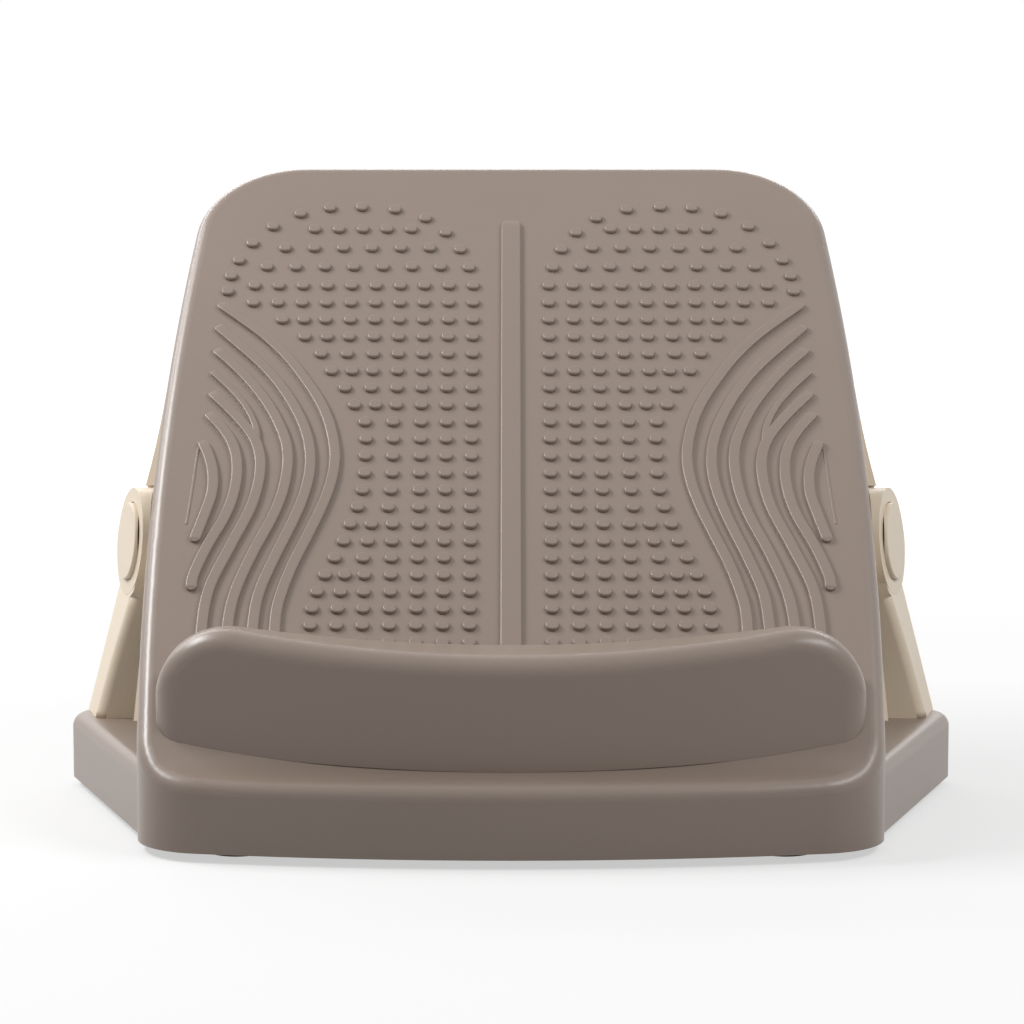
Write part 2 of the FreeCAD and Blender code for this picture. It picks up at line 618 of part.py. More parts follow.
def edgeOut(along):
    # How far out the outermost stud of a row lies
    for (outA, alongA), (outB, alongB) in zip(soleEdge, soleEdge[1:]):
        if along <= alongB:
            break
    return outA + (outB - outA) * (along - alongA) / (alongB - alongA)


# Straight rows from heel to ball: the inner columns are straight, the last two studs follow the sole's edge
rowCount = 22
studs = []
for row in range(rowCount):
    along = size("studFirstRow") + row * size("studRowPitch") + row * (row - 1) / 2 * size("studRowGrowth")
    outermost = edgeOut(along)
    pitch = size("studColumnPitch")
    gaps = int((outermost - size("studFirstColumn")) / pitch + 0.55)
    columns = [size("studFirstColumn") + pitch * column for column in range(gaps - 1)]
    columns += [(columns[-1] + outermost) / 2, outermost]
    studs.extend((out, along) for out in columns)

# Round the toes the studs follow an arch, with straight rows inside it
studs.extend((
    (138.3, 317), (137.3, 328.5), (134, 340.5), (128, 353.5), (118.4, 366.5), (105.2, 376.5), (90.6, 381),
    (74.7, 381.7), (58, 379.8), (42.6, 373), (32.4, 361.8), (25, 348.8), (20.6, 335),
))
toeRows = (
    (364.6, (49.6, 61.6, 73.6, 85.6, 97.6)),
    (350, (40.2, 54.5, 68.8, 83, 97.3, 111.6)),
    (335.6, (34.6, 48.8, 63, 77.3, 91.5, 105.8, 120)),
)
for along, outs in toeRows:
    studs.extend((out, along) for out in outs)
for out, along in studs:
    for side in (1, -1):
        foot = onTread(side * out, along) - FreeCAD.Vector(0, 0, sunk)
        reliefSolids.append(Part.makeCylinder(size("studRadius"), rise.z, foot))

reliefPart = doc.addObject("Part::Feature", "tread_relief")
reliefPart.Shape = Part.makeCompound(reliefSolids)
reliefPart.Placement = slope
place(tread)
treadShell = combine("Fuse", "tread_shell", tread, reliefPart)
nodes.append(treadShell)


# Heel stop: a saddle-topped block across the near end of the tread

heelSideBody = addBody("heel_side")
heelSide = addSketch(heelSideBody, "YZ_Plane")
heelTall = "heelHorn + 20"
drawLoop(heelSide, [
    ("ledgeDepth", "ledgeHeight + stopGap + ledgeBlend - sqrt(ledgeBlend ^ 2 - (%s) ^ 2)" % blendReach),
    (slopeY(blendReach, "stopGap"), slopeZ(blendReach, "stopGap")),
    (slopeY("heelBack", "stopGap"), slopeZ("heelBack", "stopGap")),
    (slopeY("heelBack", "50"), slopeZ("heelBack", "50")),
    ("ledgeDepth", slopeZ("heelBack", "50")),
])
addExtrusion("Pad", heelSideBody, heelSide, "heelWidth", "Symmetric")
place(heelSideBody)

heelFrontBody = addBody("heel_front")
heelFront = addSketch(heelFrontBody, "XZ_Plane")
heelHalf = "heelWidth / 2"
drawLoop(heelFront, [
    ("-(%s - heelFoot)" % heelHalf, "ledgeHeight"),
    (heelHalf + " - heelFoot", "ledgeHeight", "heelFoot"),
    (heelHalf, "ledgeHeight + heelFoot"),
    (heelHalf, "heelHorn - heelShoulder", "heelShoulder"),
    ("hornX", "hornZ", "-saddleRadius"),
    ("-hornX", "hornZ", "heelShoulder"),
    ("-" + heelHalf, "heelHorn - heelShoulder"),
    ("-" + heelHalf, "ledgeHeight + heelFoot", "heelFoot"),
])
addExtrusion("Pad", heelFrontBody, heelFront, "wholeDepth", "Symmetric")
place(heelFrontBody)

heelPlanBody = addBody("heel_plan")
heelPlan = addSketch(heelPlanBody, "XY_Plane")
drawLoop(heelPlan, [
    ("-endX", "endY", "bowRadius"),
    ("endX", "endY", "heelEnd"),
    (heelHalf, "endBack"),
    (heelHalf, "wholeDepth / 2"),
    ("-" + heelHalf, "wholeDepth / 2"),
    ("-" + heelHalf, "endBack", "heelEnd"),
])
addExtrusion("Pad", heelPlanBody, heelPlan, "heelHorn * 2")
place(heelPlanBody)

heelCorner = combine("Common", "heel_corner", heelSideBody, heelFrontBody)
heelBlock = combine("Common", "heel_block", heelCorner, heelPlanBody)
heelEdges = []
for index, edge in enumerate(heelBlock.Shape.Edges):
    box = edge.BoundBox
    along = box.ZMin > size("heelHorn - heelShoulder") - 0.5 and box.XLength > size("heelRound")
    if along:
        heelEdges.append((index + 1, size("heelRound"), size("heelRound")))
heelStop = doc.addObject("Part::Fillet", "heel_stop")
heelStop.Base = heelBlock
heelStop.Edges = heelEdges
doc.recompute()
nodes.append(heelStop)


# Side rails under the rim, each with an ear round the tilt axis

def placeOnSlope(body):
    body.Placement = FreeCAD.Placement(
        FreeCAD.Vector(0, size("frontY + ledgeDepth"), size("ledgeHeight")),
        FreeCAD.Rotation(FreeCAD.Vector(1, 0, 0), size("treadTilt")))
    body.setExpression("Placement.Base.y", bound("frontY + ledgeDepth"))
    body.setExpression("Placement.Base.z", bound("ledgeHeight"))
    body.setExpression("Placement.Rotation.Angle", bound("treadTilt"))


rail = addBody("side_rail_right")
web = addSketch(rail, "YZ_Plane", "railFace - railWeb")
railFloor = "-(rimDepth + railDepth)"
drawLoop(web, [
    ("railStart", "-rimDepth - 3"),
    ("railStart + 20", railFloor),
    ("hubAlong - 62", railFloor),
    ("hubAlong - earRadius * cos(30)", "-hubBelow - earRadius * sin(30)", "earRadius"),
    ("hubAlong + earRadius * cos(30)", "-hubBelow - earRadius * sin(30)"),
    ("hubAlong + 70", railFloor),
    ("railEnd - 20", railFloor),
    ("railEnd", "-rimDepth - 3"),
    ("railEnd", "-rimDepth"),
    ("railStart", "-rimDepth"),
])
addExtrusion("Pad", rail, web, "railWeb")
seat = addSketch(rail, "XY_Plane", "-rimDepth")
drawLoop(seat, [
    ("railFace - railSeat", "railStart"),
    ("railFace", "railStart"),
    ("railFace", "railEnd"),
    ("railFace - railSeat", "railEnd"),
])
addExtrusion("Pad", rail, seat, "headThick + 1", backwards=True)
ear = addSketch(rail, "YZ_Plane", "earFace")
drawCircle(ear, "hubAlong", "-hubBelow", "earRadius")
addExtrusion("Pad", rail, ear, "earThick")
bore = addSketch(rail, "YZ_Plane", "earFace - 1")
drawCircle(bore, "hubAlong", "-hubBelow", "sleeveRadius + runningGap")
addExtrusion("Pocket", rail, bore, "earThick + 2", backwards=True)
swellStart = "(hubAlong + 10)"
swell = addSketch(rail, "XY_Plane", "-rimDepth")
drawLoop(swell, [
    ("railFace - railWeb", swellStart),
    ("railFace + railSwell", swellStart),
    ("railFace + railSwell", "railDrawn"),
    ("railFace - railWeb", "railDrawn"),
])
addExtrusion("Pad", rail, swell, "railDepth", backwards=True)
hubRoom = addSketch(rail, "YZ_Plane", "railFace")
drawCircle(hubRoom, "hubAlong", "-hubBelow", "hubRadius + 1")
addExtrusion("Pocket", rail, hubRoom, "railSwell + 1", backwards=True)
drawnIn = addSketch(rail, "XY_Plane", "-rimDepth")
drawLoop(drawnIn, [
    ("treadHalf - railTucked", "railDrawn + railTuck"),
    ("railFace", "railDrawn", "railBow"),
    ("railFace + railSwell", swellStart),
    ("railFace + 20", swellStart),
    ("railFace + 20", "railEnd + 5"),
    ("treadHalf - railTucked", "railEnd + 5"),
])
addExtrusion("Pocket", rail, drawnIn, "railDepth * 2")
tieHole = addSketch(rail, "YZ_Plane", "railFace - railWeb - 1")
drawCircle(tieHole, "tieAlong", "-tieBelow", "screwShank + screwGap")
addExtrusion("Pocket", rail, tieHole, "railWeb + 2", backwards=True)
tieSink = addSketch(rail, "YZ_Plane", "railFace - headThick - screwGap")
drawCircle(tieSink, "tieAlong", "-tieBelow", "screwHead + screwGap")
addExtrusion("Pocket", rail, tieSink, "headThick + railSwell + 1", backwards=True)
seatHoles = addSketch(rail, "XY_Plane", "-rimDepth")
for along in railScrewPlaces:
    drawCircle(seatHoles, screwX, along, "screwShank + screwGap")
addExtrusion("Pocket", rail, seatHoles, "headThick + 2")
placeOnSlope(rail)
keepPair("side_rail", rail)

# Base: wings and the tongue inside the apron, one shell open below

base = addBody("base_shell")
wings = addSketch(base, "XY_Plane", "floorGap")
drawLoop(wings, [
    ("-wingFrontHalf", "wingFront"),
    ("wingFrontHalf", "wingFront"),
    ("wingRearHalf", "wingRear", "rearBow"),
    ("-wingRearHalf", "wingRear"),
])
addExtrusion("Pad", base, wings, "baseTop - floorGap")
wingRearY = size("wingRear")
addFillet(base, "wingCorner", lambda edge: isUpright(edge) and abs(middle(edge).y - wingRearY) < 0.1)
tongue = addSketch(base, "XY_Plane", "floorGap")
tongueBend = "bowRadius - sqrt(tongueBow ^ 2 - (tongueHalf - tongueCorner) ^ 2)"
drawLoop(tongue, [
    ("-(tongueHalf - tongueCorner)", tongueBend, "tongueBow"),
    ("tongueHalf - tongueCorner", tongueBend),
    ("tongueHalf", "cheekBack - 2"),
    ("tongueHalf", "wingFront + 10"),
    ("-tongueHalf", "wingFront + 10"),
    ("-tongueHalf", "cheekBack - 2"),
])
addExtrusion("Pad", base, tongue, "tongueTop - floorGap")
baseTopZ = size("baseTop")
addFillet(base, "wingRound", lambda edge: edge.BoundBox.ZLength < 0.01 and abs(edge.BoundBox.ZMax - baseTopZ) < 0.01
          and edge.BoundBox.YMax > size("wingFront") + 1)


def shellOutline(inset):
    # The outline of the base, drawn in by inset, without its fillets
    bend = "bowRadius - sqrt((tongueBow - %s) ^ 2 - (tongueHalf - tongueCorner) ^ 2)" % inset
    flareX = "wingRearHalf - %s - 1 - wingCorner * 0.31" % inset
    right = [
        ("tongueHalf - tongueCorner", bend),
        ("tongueHalf - " + inset, "cheekBack - 2"),
        ("tongueHalf - " + inset, "wingFront + " + inset),
        ("wingFrontHalf - " + inset, "wingFront + " + inset),
        (flareX, "wingRear - wingCorner"),
        ("wingRearHalf - wingCorner", "wingRear - " + inset),
    ]
    left = [("-(" + x + ")", y) for x, y in reversed(right)]
    return ([(left[-1][0], left[-1][1], "tongueBow - " + inset)] + right[:-1]
            + [(right[-1][0], right[-1][1], "rearBow - " + inset)] + left[:-1])


cavity = addSketch(base, "XY_Plane", "floorGap")
drawLoop(cavity, shellOutline("baseWall"))
addExtrusion("Pocket", base, cavity, "tongueTop - baseWall - floorGap", backwards=True)
wingCavity = addSketch(base, "XY_Plane", "floorGap")
inner = shellOutline("baseWall")
drawLoop(wingCavity, inner[4:9] + [("-(wingFrontHalf - baseWall)", "wingFront + baseWall")])
addExtrusion("Pocket", base, wingCavity, "baseTop - baseWall - floorGap", backwards=True)

# Posts under the tongue and the wings for the bottom cover's screws
tonguePosts = (("52", "24"), ("-52", "24"))
wingPosts = (("118", "wingRear - 93"), ("-118", "wingRear - 93"), ("80", "wingRear - 13"), ("-80", "wingRear - 13"))
postRadius = "bossRadius"
for group, ceiling in ((tonguePosts, "tongueTop"), (wingPosts, "baseTop")):
    posts = addSketch(base, "XY_Plane", "floorGap + coverThick")
    postBores = addSketch(base, "XY_Plane", "floorGap + coverThick")
    for x, y in group:
        drawCircle(posts, x, y, postRadius)
        drawCircle(postBores, x, y, "screwShank + screwGap")
    addExtrusion("Pad", base, posts, ceiling + " - 1 - floorGap - coverThick")
    addExtrusion("Pocket", base, postBores, "12", backwards=True)

# Holes for the leg screws and the stop bumpers
legScrews = (("legFace + 8", "legBack - 13"), ("legFace + 24", "legBack - 12"))
legHoles = addSketch(base, "XY_Plane", "baseTop")
bumperHoles = addSketch(base, "XY_Plane", "tongueTop")
for side in ("", "-"):
    for x, y in legScrews:
        drawCircle(legHoles, side + "(" + x + ")", y, "screwShank + screwGap")
    drawCircle(bumperHoles, side + "bumperX", "bumperY", "bumperRadius / 2 + screwGap")
addExtrusion("Pocket", base, legHoles, "baseWall + 1")
addExtrusion("Pocket", base, bumperHoles, "baseWall + 1")
place(base)
nodes.append(base)

cover = addBody("bottom_cover")
coverPlan = addSketch(cover, "XY_Plane", "floorGap")
drawLoop(coverPlan, shellOutline("(baseWall + coverGap)"))
addExtrusion("Pad", cover, coverPlan, "coverThick")
coverHoles = addSketch(cover, "XY_Plane", "floorGap")
feet = {
    "rubber_foot_front_right": ("footFrontX", "footFrontY"),
    "rubber_foot_front_left": ("-footFrontX", "footFrontY"),
    "rubber_foot_rear_right": ("footRearX", "footRearY"),
    "rubber_foot_rear_left": ("-footRearX", "footRearY"),
}
for x, y in tonguePosts + wingPosts:
    drawCircle(coverHoles, x, y, "screwShank + screwGap")
for x, y in feet.values():
    drawCircle(coverHoles, x, y, "footStem + screwGap")
addExtrusion("Pocket", cover, coverHoles, "coverThick", backwards=True)
place(cover)
nodes.append(cover)


def standing(label, corners, x, y, z):
    # A body turned about an upright axis from a half section given as (radius, height) corners
    body = addBody(label)
    sketch = addSketch(body, "XZ_Plane")
    drawLoop(sketch, corners)
    feature = body.newObject("PartDesign::Revolution", label + "_revolution")
    feature.Profile = sketch
    feature.ReferenceAxis = (sketch, ["V_Axis"])
    feature.Angle = 360
    place(body, y="frontY + " + y, x=x, z=z)
    doc.recompute()
    return body


# Rubber feet: a disc under the cover and a stem with a collar above it
for name, (x, y) in feet.items():
    nodes.append(standing(name, [
        ("0", "0"),
        ("footRadius - 1", "0"),
        ("footRadius", "1"),
        ("footRadius", "floorGap"),
        ("footStem", "floorGap"),
        ("footStem", "floorGap + coverThick"),
        ("footStem + 1.5", "floorGap + coverThick"),
        ("footStem", "floorGap + coverThick + 3"),
        ("0", "floorGap + coverThick + 3"),
    ], x, y, "0"))

# Rubber stops on the tongue that carry the apron's ledge at the steepest setting
for name, x in (("stop_bumper_right", "bumperX"), ("stop_bumper_left", "-bumperX")):
    nodes.append(standing(name, [
        ("0", "-baseWall - 1"),
        ("bumperRadius / 2", "-baseWall - 1"),
        ("bumperRadius / 2", "0"),
        ("bumperRadius", "0"),
        ("bumperRadius", "ledgeHeight - treadWall - tongueTop"),
        ("0", "ledgeHeight - treadWall - tongueTop"),
    ], x, "bumperY", "tongueTop"))

# Legs: an outer shell with the hub's boss and an inner shell, parted parallel to the outer face


def trimBlock(label, x, y, z, splay, lean, shift):
    # A large block that fills the space outside a splayed and leaning face through a point
    reach = size("wholeDepth")
    normal = FreeCAD.Vector(1, -math.tan(math.radians(size(splay))), math.tan(math.radians(size(lean))))
    turn = FreeCAD.Rotation(FreeCAD.Vector(1, 0, 0), normal)
    point = FreeCAD.Vector(size(x) + size(shift), size("frontY + " + y), size(z))
    block = doc.addObject("Part::Box", label)
    for side in ("Length", "Width", "Height"):
        block.setExpression(side, bound("wholeDepth"))
    corner = turn.multVec(FreeCAD.Vector(0, -reach / 2, -reach / 2))
    block.Placement = FreeCAD.Placement(point + corner, turn)
    doc.recompute()
    return block


def hubCylinder(label, radius, start, length):
    cylinder = doc.addObject("Part::Cylinder", label)
    cylinder.setExpression("Radius", bound(radius))
    cylinder.setExpression("Height", bound(length))
    cylinder.Placement = FreeCAD.Placement(
        FreeCAD.Vector(size(start), size("frontY + hubBack"), size("hubHeight")),
        FreeCAD.Rotation(FreeCAD.Vector(0, 1, 0), 90))
    doc.recompute()
    return cylinder


leg = addBody("leg_blank")
legSide = addSketch(leg, "YZ_Plane", "legFace")
drawLoop(legSide, [
    ("legFront", "baseTop"),
    ("legBack", "baseTop"),
    ("hubBack + hubRadius", "hubHeight", "hubRadius"),
    ("hubBack", "hubHeight + hubRadius", "hubRadius"),
    ("hubBack - hubRadius", "hubHeight", "-legArch"),
])
addExtrusion("Pad", leg, legSide, "legFoot - legFace + 10")
place(leg)
legOuterFace = trimBlock("leg_outer_face", "legFoot", "legBack", "baseTop", "legSplay", "legLean", "0")
legParting = trimBlock("leg_parting", "legFoot", "legBack", "baseTop", "legSplay", "legLean", "-legShell")
legTrimmed = combine("Cut", "leg_trimmed", leg, legOuterFace)
bossFace = trimBlock("boss_face", "capFace - capProud", "hubBack", "hubHeight", "capSplay", "capLean", "0")
bossBlank = hubCylinder("boss_blank", "hubRadius", "legFace", "capFace - legFace + hubRadius")
boss = combine("Cut", "boss", bossBlank, bossFace)
outerBlank = combine("Common", "leg_outer_blank", legTrimmed, legParting)
outerWithBoss = combine("Fuse", "leg_outer_boss", outerBlank, boss)
buttonWell = hubCylinder("button_well", "capRadius + capGap", "bossFloor", "hubRadius * 2")
outerWithWell = combine("Cut", "leg_outer_well", outerWithBoss, buttonWell)
sleeveBore = hubCylinder("sleeve_bore", "sleeveRadius + runningGap", "legFace - 1", "hubRadius")
outerBored = combine("Cut", "leg_outer_bored", outerWithWell, sleeveBore)
innerBlank = combine("Cut", "leg_inner_blank", legTrimmed, legParting)
bossRoom = hubCylinder("boss_room", "hubRadius", "legFace - 1", "hubRadius * 2")
innerPlain = combine("Cut", "leg_inner_plain", innerBlank, bossRoom)


# Screws: pan heads under the given face, pointing along a direction

def screwSolid(place_, length, gap=0):
    head = Part.makeCylinder(size("screwHead") + gap, size("headThick") + gap,
                             FreeCAD.Vector(0, 0, -size("headThick") - gap))
    shank = Part.makeCylinder(size("screwShank") + gap, length + gap)
    solid = head.fuse(shank).removeSplitter()
    solid.Placement = place_
    return solid


def screwGroup(label, places, length, gap=0):
    group = doc.addObject("Part::Feature", label)
    group.Shape = Part.makeCompound([screwSolid(place_, size(length), gap) for place_ in places])
    return group


def alongX(x, y, z, side=1):
    return FreeCAD.Placement(FreeCAD.Vector(side * size(x), size("frontY + " + y), size(z)),
                             FreeCAD.Rotation(FreeCAD.Vector(0, 0, 1), FreeCAD.Vector(side, 0, 0)))


def upward(x, y, z, side=1):
    return FreeCAD.Placement(FreeCAD.Vector(side * size(x), size("frontY + " + y), size(z)), FreeCAD.Rotation())


def onSlope(x, along, above, side=1):
    place_ = FreeCAD.Placement(FreeCAD.Vector(side * size(x), size(along), size(above)), FreeCAD.Rotation())
    return slope.multiply(place_)


shellScrewHeights = ("baseTop + 30", "baseTop + 48")
shellScrewX = "(legFace + headThick)"
joinRoom = screwGroup("leg_shell_screw_room",
                      [alongX(shellScrewX, "hubBack", height) for height in shellScrewHeights], "12.5", size("screwGap"))
footRoom = screwGroup("leg_foot_screw_room",
                      [upward(x, y, "baseTop - baseWall") for x, y in legScrews], "14.5", size("screwGap"))
legRoom = combine("Fuse", "leg_screw_room", joinRoom, footRoom)
keepPair("leg_outer_shell", combine("Cut", "leg_outer_shell_right", outerBored, legRoom))
keepPair("leg_inner_shell", combine("Cut", "leg_inner_shell_right", innerPlain, legRoom))

# Hub, from the middle outwards: screw, lock plate, pad, ear, washer, leg, sleeve, spring, button

lockFace = "(earFace - padThick - lockThick)"
stemRadius = "(sleeveRadius - sleeveWall - stemGap)"
ceilingX = "(legFace + capCeiling)"
hubPieces = {
    "pivot_sleeve": [
        ("earFace + sleeveShort", "sleeveRadius - sleeveWall"),
        ("bossFloor + flangeThick", "sleeveRadius - sleeveWall"),
        ("bossFloor + flangeThick", "sleeveFlange"),
        ("bossFloor", "sleeveFlange"),
        ("bossFloor", "sleeveRadius"),
        ("earFace + sleeveShort", "sleeveRadius"),
    ],
    "friction_washer": [
        ("railFace", "sleeveRadius + 1.5"),
        ("legFace", "sleeveRadius + 1.5"),
        ("legFace", "earRadius - 1"),
        ("railFace", "earRadius - 1"),
    ],
    "button_stem": [
        (lockFace, "screwShank + screwGap"),
        (lockFace + " + 14", "screwShank + screwGap"),
        (lockFace + " + 14", "0"),
        (ceilingX, "0"),
        (ceilingX, "stemHead"),
        (ceilingX + " - 1.2", "stemHead"),
        (ceilingX + " - 1.2", stemRadius),
        (lockFace, stemRadius),
    ],
    "lock_plate": [
        (lockFace, stemRadius),
        (lockFace + " + lockThick", stemRadius),
        (lockFace + " + lockThick", "lockRadius - 1"),
        (lockFace + " + lockThick - 1", "lockRadius"),
        (lockFace, "lockRadius"),
    ],
    "friction_pad": [
        (lockFace + " + lockThick", "sleeveRadius + 1.5"),
        ("earFace", "sleeveRadius + 1.5"),
        ("earFace", "padRadius"),
        (lockFace + " + lockThick", "padRadius"),
    ],
    "lock_screw": [
        (lockFace + " - headThick", "0"),
        (lockFace + " + 11", "0"),
        (lockFace + " + 11", "screwShank"),
        (lockFace, "screwShank"),
        (lockFace, "stemHead"),
        (lockFace + " - headThick", "stemHead"),
    ],
}
for name, corners in hubPieces.items():
    piece = turned(name + "_right", corners)
    onHub(piece)
    keepPair(name, piece)

# A conical spring between the sleeve's flange and the button
springStart = size("bossFloor + flangeThick + springWire / 2 + springGap")
springHeight = size("legFace + capCeiling - springWire / 2 - springGap") - springStart
springTaper = math.degrees(math.atan((size("springWide") - size("springNarrow")) / springHeight))
coil = Part.makeHelix(springHeight / size("springTurns"), springHeight, size("springWide"), -springTaper)
wireEnd = coil.Edges[0].firstVertex().Point
wireDirection = coil.Edges[0].tangentAt(coil.Edges[0].FirstParameter)
sideways = wireDirection.cross(FreeCAD.Vector(0, 0, 1)).normalize() * size("springWire") / 2
corners = []
for corner in range(8):
    turn = FreeCAD.Rotation(wireDirection, 45 * corner + 22.5)
    corners.append(wireEnd + turn.multVec(sideways))
section = Part.makePolygon(corners + corners[:1])
springPart = doc.addObject("Part::Feature", "button_spring_right")
springPart.Shape = Part.Wire(coil.Edges).makePipeShell([section], True, True)
springPart.Placement = FreeCAD.Placement(
    FreeCAD.Vector(springStart, size("frontY + hubBack"), size("hubHeight")),
    FreeCAD.Rotation(FreeCAD.Vector(0, 1, 0), 90))
keepPair("button_spring", springPart)

# Release button: a hollow cap with a splayed face
capFaceBlock = trimBlock("cap_face", "capFace", "hubBack", "hubHeight", "capSplay", "capLean", "0")
capBack = "bossFloor + buttonTravel + capGap"
capBlank = hubCylinder("cap_blank", "capRadius", capBack, "hubRadius * 2")
capSolid = combine("Cut", "cap_solid", capBlank, capFaceBlock)
capRoom = hubCylinder("cap_room", "capHollow", "bossFloor", "legFace + capCeiling - bossFloor")
capHollowed = combine("Cut", "cap_hollowed", capSolid, capRoom)
rimEdges = []
for index, edge in enumerate(capHollowed.Shape.Edges):
    if edge.BoundBox.XMax > size("capFace") and edge.BoundBox.YLength > size("capRadius") * 1.9:
        rimEdges.append((index + 1, size("capRim"), size("capRim")))
cap = doc.addObject("Part::Fillet", "release_button_right")
cap.Base = capHollowed
cap.Edges = rimEdges
doc.recompute()
keepPair("release_button", cap)

# Tie bar between the rails, with a plug and a screw at each end

tie = turned("tie_bar", [
    ("-(railFace - railWeb)", "tieRadius - tieWall"),
    ("railFace - railWeb", "tieRadius - tieWall"),
    ("railFace - railWeb", "tieRadius"),
    ("-(railFace - railWeb)", "tieRadius"),
])
tieY = slopeY("tieAlong", "-tieBelow")
tieZ = slopeZ("tieAlong", "-tieBelow")
place(tie, y="frontY + " + tieY, z=tieZ)
nodes.append(tie)
plug = turned("tie_plug_right", [
    ("railFace - railWeb - 14", "screwShank + screwGap"),
    ("railFace - railWeb", "screwShank + screwGap"),
    ("railFace - railWeb", "tieRadius - tieWall"),
    ("railFace - railWeb - 14", "tieRadius - tieWall"),
])
place(plug, y="frontY + " + tieY, z=tieZ)
keepPair("tie_plug", plug)

# Fasteners that hold more than one pair of pieces
screwGroups = {
    "leg_shell_screws": ([alongX(shellScrewX, "hubBack", height, side)
                          for height in shellScrewHeights for side in (1, -1)], "12"),
    "leg_foot_screws": ([upward(x, y, "baseTop - baseWall", side) for x, y in legScrews for side in (1, -1)], "13"),
    "cover_screws": ([upward(x, y, "floorGap") for x, y in tonguePosts + wingPosts], "11"),
    "rail_screws": ([onSlope(screwX, along, "-rimDepth - headThick - 1", side)
                     for along in railScrewPlaces for side in (1, -1)], "11"),
    "tie_screws": ([alongX("railFace - headThick", tieY, tieZ, side).multiply(
        FreeCAD.Placement(FreeCAD.Vector(), FreeCAD.Rotation(FreeCAD.Vector(1, 0, 0), 180)))
        for side in (1, -1)], "14"),
}
for label, (places, length) in screwGroups.items():
    nodes.append(screwGroup(label, places, length))

heelScrewPlaces = [onSlope(x, "34", "-treadWall", side) for x in ("45", "112") for side in (1, -1)]
heelRoom = screwGroup("heel_screw_room", heelScrewPlaces, "18.5", size("screwGap"))
nodes.append(screwGroup("heel_screws", heelScrewPlaces, "17"))
nodes.remove(treadShell)
nodes.remove(heelStop)
treadShell.Label = "tread_plain"
heelStop.Label = "heel_plain"
nodes.append(combine("Cut", "tread_shell", treadShell, heelRoom))
nodes.append(combine("Cut", "heel_stop", heelStop, heelRoom))

# Every piece is checked before any is written
doc.recompute()
for thing in doc.Objects:
    if "Invalid" in thing.State or "Error" in thing.State:
        raise RuntimeError("not rebuilt: " + thing.Label)
for node in nodes:
    if node.Shape.isNull() or not node.Shape.isValid() or not node.Shape.Solids:
        raise RuntimeError("bad shape: " + node.Label)
os.makedirs("parts", exist_ok=True)
for node in nodes:
    node.Shape.exportStep("parts/" + node.Label + ".step")
print(len(nodes), "nodes written")
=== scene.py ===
import json
import math

import bmesh
import bpy
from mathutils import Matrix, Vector


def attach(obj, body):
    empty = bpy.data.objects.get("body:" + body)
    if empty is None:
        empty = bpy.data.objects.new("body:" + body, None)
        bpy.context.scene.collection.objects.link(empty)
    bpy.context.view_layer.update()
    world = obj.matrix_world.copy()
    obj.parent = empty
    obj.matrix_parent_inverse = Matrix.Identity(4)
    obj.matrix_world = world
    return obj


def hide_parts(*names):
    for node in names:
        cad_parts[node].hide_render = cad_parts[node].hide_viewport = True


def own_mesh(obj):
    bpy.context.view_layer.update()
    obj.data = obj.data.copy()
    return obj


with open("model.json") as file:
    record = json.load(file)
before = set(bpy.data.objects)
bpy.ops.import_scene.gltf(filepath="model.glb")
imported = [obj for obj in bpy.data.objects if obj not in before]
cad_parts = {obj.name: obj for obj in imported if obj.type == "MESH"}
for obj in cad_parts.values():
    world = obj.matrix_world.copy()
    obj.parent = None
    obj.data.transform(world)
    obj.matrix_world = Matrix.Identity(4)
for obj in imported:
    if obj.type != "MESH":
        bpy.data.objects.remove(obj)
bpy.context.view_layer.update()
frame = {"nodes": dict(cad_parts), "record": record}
nodes = frame["nodes"]
scene = bpy.context.scene
mm = 0.001
print("frame loaded:", len(nodes), "nodes")


# graphs: one way to add nodes, for materials and for geometry

class Wire:
    # one output of a node; adding to it or multiplying it makes a Math node
    def __init__(self, graph, socket):
        self.graph = graph
        self.socket = socket

    def join(self, operation, *values):
        return self.graph.add("ShaderNodeMath", {"operation": operation}, dict(enumerate(values)))

    def __add__(self, other):
        return self.join("ADD", self, other)

    def __radd__(self, other):
        return self.join("ADD", other, self)

    def __mul__(self, other):
        return self.join("MULTIPLY", self, other)

    def __rmul__(self, other):
        return self.join("MULTIPLY", other, self)


class Graph:
    def __init__(self, tree):
        self.tree = tree
        tree.nodes.clear()

    def add(self, kind, settings=None, sockets=None, output=0):
        # a node with its settings, then a value, a wire or a list of wires for each socket
        node = self.tree.nodes.new(kind)
        for name, value in (settings or {}).items():
            setattr(node, name, value)
        for name, value in (sockets or {}).items():
            for each in value if isinstance(value, list) else [value]:
                if isinstance(each, Wire):
                    self.tree.links.new(each.socket, node.inputs[name])
                else:
                    node.inputs[name].default_value = each
        return Wire(self, node.outputs[output]) if len(node.outputs) else None


def colour(red, green, blue):
    return (red, green, blue, 1)


def grey(level):
    return colour(level, level, level)


def paintTree(name):
    # a new material, its empty graph and a wire with the object's own coordinates
    material = bpy.data.materials.new(name)
    material.use_nodes = True
    graph = Graph(material.node_tree)
    return material, graph, graph.add("ShaderNodeTexCoord", output="Object")


def toneBetween(graph, share, dark, light):
    # a colour mix has its two colours at sockets 6 and 7 and its result at output 2
    return graph.add("ShaderNodeMix", {"data_type": "RGBA"}, {0: share, 6: dark, 7: light}, output=2)


# moulded plastics, rubber and friction lining

